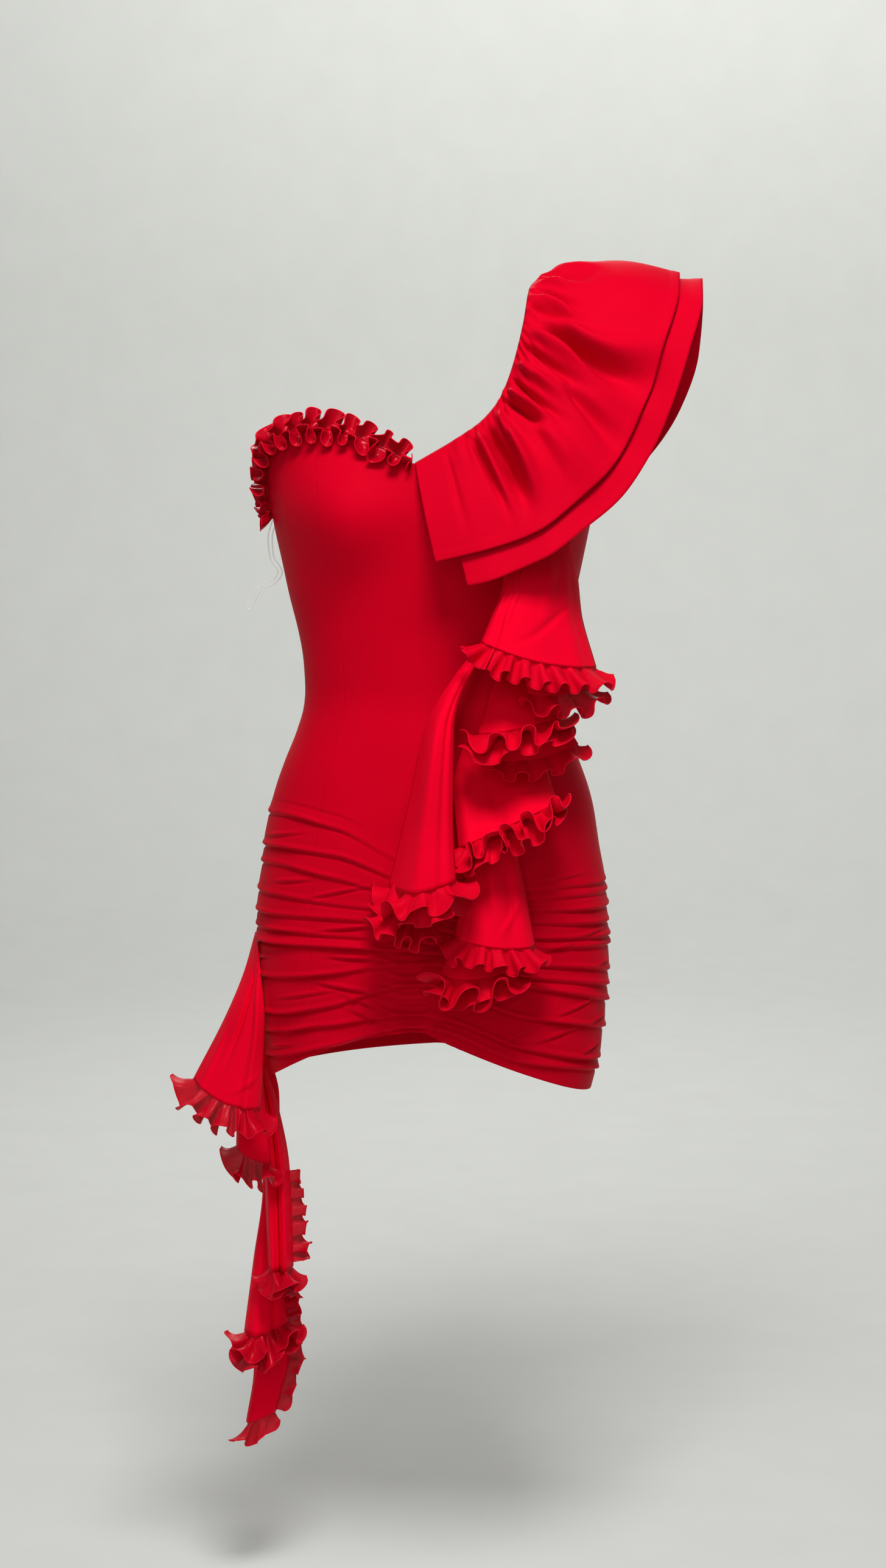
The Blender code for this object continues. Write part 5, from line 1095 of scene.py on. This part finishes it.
class DressStage(bpy.types.PropertyGroup):
    """The floor, the backdrop and the lights."""
    floor_drop: FloatProperty(name="Floor", description="How far the floor is below the "
                              "shoulder", default=1.330, min=1.2, max=3, subtype="DISTANCE",
                              unit="LENGTH")
    wall_reach: FloatProperty(name="Wall", description="How far the round wall is from the "
                              "dress", default=5.6, min=3, max=12, subtype="DISTANCE",
                              unit="LENGTH")
    key_power: FloatProperty(name="Key light", description="Strength of the main light",
                             default=56.0, min=0, max=500, subtype="POWER", unit="POWER")
    fill_power: FloatProperty(name="Fill light", description="Strength of the fill light",
                              default=20.0, min=0, max=500, subtype="POWER", unit="POWER")
    wall_power: FloatProperty(name="Wall light", description="Strength of the light on the wall "
                              "behind the dress", default=92.0, min=0, max=500,
                              subtype="POWER", unit="POWER")
    back_power: FloatProperty(name="Back light", description="Strength of the light behind the "
                              "dress", default=26.0, min=0, max=500, subtype="POWER",
                              unit="POWER")
    room_power: FloatProperty(name="Room light", description="Strength of the light on the wall "
                              "in front of the dress", default=12.0, min=0, max=500,
                              subtype="POWER", unit="POWER")


class DRESS_OT_body(bpy.types.Operator):
    """Sews the front, side front and back panels, with the gathered skirt"""
    bl_idname = "dress.body"
    bl_label = "Body panels"

    def execute(self, context):
        thick = context.scene.dress_sizes.jersey
        finish = kept_finish("satin_jersey")
        for name, (first, last, count, top, side) in PANELS.items():
            angle = np.unique(np.concatenate([np.linspace(first, last, count), first + NEAR_SEAM,
                                              last - NEAR_SEAM]).round(4))
            points, normal = body_grid(angle, top, SKIRT_ROWS, UPPER_ROWS, side)
            shell = cloth_shell(points - normal * thick / 2, thick, normal)
            piece = add_cloth(name + "_cloth", [(*shell, 0)], [finish])
            put_on(piece, [name], [points], gauge=KNIT_GIVE,
                   level=UPPER_ROWS)
        return {"FINISHED"}


class DRESS_OT_ruffle(bpy.types.Operator):
    """Gathers the two layers of the shoulder ruffle to the neckline"""
    bl_idname = "dress.ruffle"
    bl_label = "Shoulder ruffle"

    def execute(self, context):
        thick = context.scene.dress_sizes.crepe
        finish = kept_finish("crisp_crepe")
        for name, layer in RUFFLE_LAYERS.items():
            points = ruffle_grid(*layer)
            piece = add_cloth(name + "_cloth", [(*cloth_shell(points, thick), 0)], [finish])
            put_on(piece, [name], [points])
        return {"FINISHED"}


class DRESS_OT_leaves(bpy.types.Operator):
    """Hangs the leaves of the front cascade and of the hip tail, and sews on their frills"""
    bl_idname = "dress.leaves"
    bl_label = "Cascade and tail"

    def execute(self, context):
        sizes = context.scene.dress_sizes
        # The leaves' crepe is the ruffle's cloth made brighter: painted light.
        cloth, sheer, thin, thread = (kept_finish(n) for n in (
            "fluid_crepe", "sheer_frill", "thin_frill", "edge_thread"))
        grids = {}
        for name, leaf in {**FRONT_LEAVES, **TAIL_LEAVES}.items():
            grids[name] = leaf_grid(name, leaf, grids, LEAF_COLUMNS, LEAF_ROWS)
            shell = cloth_shell(grids[name], sizes.crepe)
            piece = add_cloth(name + "_cloth", [(*shell, 0)], [cloth])
            put_on(piece, [name], [grids[name]])
        for seed, (name, row) in enumerate(FRILLS.items()):
            carrier, edge, first, last, waves, wide0, wide1, high, turn, swing, spread, behind = row
            steps = waves * STEPS_IN_WAVE
            path, out, face = leaf_path(grids[carrier], edge, first, last, steps)
            on_tail = name.startswith("tail")
            strips = [frill_grid(path, out, face, waves, (wide0, wide1), high, turn, swing, spread,
                                 seed, "tail" if on_tail else "cascade")]
            if behind:
                strips.append(frill_grid(path - face * BEHIND_GAP, out, face, waves - 1,
                                         (behind, behind), high * BEHIND_SHARE, BEHIND_TURN,
                                         BEHIND_SWING, spread * BEHIND_SHARE,
                                         seed + BEHIND_SEED, "behind"))
            shells = []
            for strip in strips:
                shells.append((*cloth_shell(strip, sizes.sheer), 0))
                shells.append((*thread_shell(strip[-1], sizes.thread), 1))
            piece = add_cloth(name + "_cloth", shells, [thin if on_tail else sheer, thread])
            put_on(piece, [name], strips, True)
        return {"FINISHED"}


class DRESS_OT_neck_frill(bpy.types.Operator):
    """Sews the standing and the falling row of the neckline frill"""
    bl_idname = "dress.neck_frill"
    bl_label = "Neckline frill"

    def execute(self, context):
        sizes = context.scene.dress_sizes
        sheer, thread = kept_finish("glossy_frill"), kept_finish("edge_thread")
        angle = np.linspace(SWEETHEART, 180, 240)
        # Only the top row of this coarse grid is used: the neckline and its normals.
        points, normal = body_grid(angle, FRONT_TOP, 4, 30, -1)
        at = run_along(points[0])
        share = np.linspace(*NECK_SPAN, NECK_WAVES * STEPS_IN_WAVE + 1)
        path, face = (pick_along(share, at / at[-1], v) for v in (points[0], normal[0]))
        along = unit(np.gradient(path, axis=0))
        face = unit(face - along * np.sum(face * along, axis=-1, keepdims=True))
        away = np.cross(along, face)
        away = away * np.sign(np.sum(away * (path - CUP_CENTRE), axis=-1, keepdims=True))
        # Each row's root, outward direction, width, turn in degrees and random seed.
        rows = {
            "neck_frill_upper": (path - away * 0.0015 + face * 0.0003, unit(away + 0.10 * face),
                                 sizes.neck_stand, 52, 11),
            "neck_frill_lower": (path - away * 0.0022 + face * 0.0009,
                                 unit(0.7 * face - 0.7 * away), sizes.neck_fall, 30, 27),
        }
        for name, (root, out, wide, turn, seed) in rows.items():
            normal = unit(face - out * np.sum(face * out, axis=-1, keepdims=True))
            strip = frill_grid(root, out, normal, NECK_WAVES, (wide, wide), NECK_HIGH, turn,
                               NECK_SWING, 0.0, seed, "neck")
            shells = [(*cloth_shell(strip, sizes.sheer), 0),
                      (*thread_shell(strip[-1], sizes.thread * NECK_THREAD), 1)]
            if name == "neck_frill_lower":
                # The edge of the seam, rolled up between the two rows.
                roll = path - away * 0.0014 + face * 0.0004
                shells.append((*thread_shell(roll, SEAM_ROLL), 0))
            piece = add_cloth(name + "_cloth", shells, [sheer, thread])
            put_on(piece, [name], [strip],
                   True)
        return {"FINISHED"}


class DRESS_OT_tape(bpy.types.Operator):
    """Folds the clear hanger tape into its narrow loop under the wearer's right arm"""
    bl_idname = "dress.tape"
    bl_label = "Hanger tape"

    def execute(self, context):
        # Two runs beside one smooth line, joined by a half circle at its end, and the band's
        # width laid across them along y.
        path = np.array(TAPE_PATH)
        length = run_along(path)
        share = np.linspace(0, 1, 60)
        down = np.stack([smooth(length / length[-1], path[:, i], share) for i in range(2)], axis=-1)
        along = unit(np.gradient(down, axis=0))
        across = np.stack([along[:, 1], -along[:, 0]], axis=-1)
        near, far = down + across * TAPE_GAP / 2, down - across * TAPE_GAP / 2
        arc = np.linspace(0, math.pi, 9)[1:-1, None]
        tip = down[-1] + TAPE_GAP / 2 * (np.cos(arc) * across[-1] + np.sin(arc) * along[-1])
        loop = np.concatenate([near, tip, far[::-1]])
        places = np.stack([loop[:, 0], np.full(len(loop), TAPE_Y), -loop[:, 1]], axis=-1)
        side = np.linspace(-TAPE_WIDTH / 2, TAPE_WIDTH / 2, 5)[:, None, None] * np.array([0, 1, 0])
        strip = places + side
        piece = add_cloth("hanger_tape_band", [(*cloth_shell(strip, TAPE_WALL), 0)],
                          [kept_finish("clear_tape")])
        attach(piece, "root")
        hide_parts("hanger_tape")
        return {"FINISHED"}


class DRESS_OT_stage(bpy.types.Operator):
    """Sets the round studio, the lights and the camera"""
    bl_idname = "dress.stage"
    bl_label = "Stage"

    def execute(self, context):
        self.backdrop(context.scene)
        self.lights(context.scene)
        self.camera(context.scene)
        return {"FINISHED"}

    def backdrop(self, scene):
        """A flat floor that bends up into a wall on every side: a profile of a level, a quarter
        circle and a rise, turned about the upright line through the dress."""
        reach = scene.dress_stage.wall_reach
        rise = np.linspace(0, math.pi / 2, 25)
        radius = np.concatenate([[0.5, 1.5], reach - STUDIO_BEND + STUDIO_BEND * np.sin(rise),
                                 [reach]])
        level = np.concatenate([[0, 0], STUDIO_BEND * (1 - np.cos(rise)), [STUDIO_TALL]])
        level = level - scene.dress_stage.floor_drop
        around = np.linspace(0, 2 * math.pi, STUDIO_STEPS + 1)[:-1]
        places = np.stack([radius[:, None] * np.cos(around), radius[:, None] * np.sin(around),
                           np.repeat(level[:, None], len(around), axis=1)], axis=-1)
        ids = np.arange(len(radius) * len(around)).reshape(len(radius), len(around))
        onward = np.roll(ids, -1, axis=1)
        faces = np.stack([ids[:-1], ids[1:], onward[1:], onward[:-1]], axis=-1)
        faces = faces.reshape(-1, 4).tolist()
        mesh = bpy.data.meshes.new("backdrop")
        mesh.from_pydata(places.reshape(-1, 3), [], [list(range(len(around))), *faces])
        mesh.materials.append(paint_finish("studio_paint", tuple(scene.dress_colours.paint)))
        mesh.polygons.foreach_set("use_smooth", np.ones(len(mesh.polygons), dtype=bool))
        backdrop = bpy.data.objects.new("backdrop", mesh)
        scene.collection.objects.link(backdrop)

    def lights(self, scene):
        """Square soft lamps, each at a place and turned to an aim, and a faint pale sky."""
        stage = scene.dress_stage
        wall = stage.wall_reach
        # Each lamp's place, aim, size and strength.
        lamps = {
            "key": ((0.06, -1.36, 1.56), (-0.06, 0.0, -0.48), 0.75, stage.key_power),
            "fill": ((-0.5, -2.9, 0.5), (0.0, 0.2, -0.7), 2.0, stage.fill_power),
            "wall_light": ((0.1, wall - LAMP_OFF, LAMP_HIGH), (0.1, wall, -0.2), 2.4,
                           stage.wall_power),
            "back": ((-0.45, 2.3, 1.3), (0.0, 0.0, -0.5), 1.4, stage.back_power),
            "room_light": ((0.1, LAMP_OFF - wall, LAMP_HIGH), (0.1, -wall, -0.2), 2.4,
                           stage.room_power),
        }
        for name, (place, aim, size, power) in lamps.items():
            lamp = bpy.data.lights.new(name, "AREA")
            lamp.size = size
            lamp.energy = power
            light = bpy.data.objects.new(name, lamp)
            light.visible_camera = False
            light.location = place
            away = np.array(place) - np.array(aim)
            light.rotation_euler = (math.atan2(math.hypot(away[0], away[1]), away[2]), 0.0,
                                    math.atan2(away[1], away[0]) + math.pi / 2)
            scene.collection.objects.link(light)
        world = bpy.data.worlds.new("studio")
        scene.world = world
        world.use_nodes = True
        sky = world.node_tree.nodes["Background"]
        sky.inputs["Color"].default_value = SKY_COLOUR
        sky.inputs["Strength"].default_value = SKY_STRENGTH
        scene.view_settings.view_transform = "Standard"

    def camera(self, scene):
        """The photograph's camera: a long lens in front of the dress, turned a little towards
        the wearer's left and looking slightly down."""
        turn, tilt = math.radians(CAMERA_TURN), math.radians(CAMERA_TILT)
        right = (FIGURE_MIDDLE - FRAME_MIDDLE) / FOCAL * CAMERA_REACH
        data = bpy.data.cameras.new("photo_view")
        data.sensor_fit = "VERTICAL"
        data.sensor_height = SENSOR
        data.lens = SENSOR * FOCAL / FRAME_TALL
        camera = bpy.data.objects.new("photo_view", data)
        camera.location = (CAMERA_REACH * math.sin(turn) - right * math.cos(turn) - SHOULDER[0],
                           -CAMERA_REACH * math.cos(turn) - right * math.sin(turn),
                           CAMERA_HEIGHT - SHOULDER[2])
        camera.rotation_euler = (math.pi / 2 - tilt, 0.0, turn)
        scene.collection.objects.link(camera)
        scene.camera = camera


class DRESS_PT_panel(bpy.types.Panel):
    """Lists the dress's sizes, colours and pieces"""
    bl_label = "Dress"
    bl_idname = "DRESS_PT_panel"
    bl_space_type = "VIEW_3D"
    bl_region_type = "UI"
    bl_category = "Dress"

    def draw(self, context):
        scene, layout = context.scene, self.layout
        for group in (scene.dress_sizes, scene.dress_colours, scene.dress_stage):
            box = layout.box()
            for name in group.__annotations__:
                box.prop(group, name)
        for piece in PIECES:
            layout.operator(piece.bl_idname)


GROUPS = {"dress_sizes": DressSizes, "dress_colours": DressColours, "dress_stage": DressStage}
PIECES = (DRESS_OT_body, DRESS_OT_ruffle, DRESS_OT_leaves, DRESS_OT_neck_frill, DRESS_OT_tape,
          DRESS_OT_stage)


def register():
    """Registers the groups, the operators and the panel."""
    for kind in (*GROUPS.values(), *PIECES, DRESS_PT_panel):
        bpy.utils.register_class(kind)
    for name, group in GROUPS.items():
        setattr(bpy.types.Scene, name, PointerProperty(type=group))


def unregister():
    """Takes them away again."""
    for name in GROUPS:
        delattr(bpy.types.Scene, name)
    for kind in reversed((*GROUPS.values(), *PIECES, DRESS_PT_panel)):
        bpy.utils.unregister_class(kind)


def main():
    register()
    for piece in PIECES:
        group, name = piece.bl_idname.split(".")
        if getattr(getattr(bpy.ops, group), name)() != {"FINISHED"}:
            raise RuntimeError("the operator " + piece.bl_idname + " did not finish")


if __name__ == "__main__":
    main()
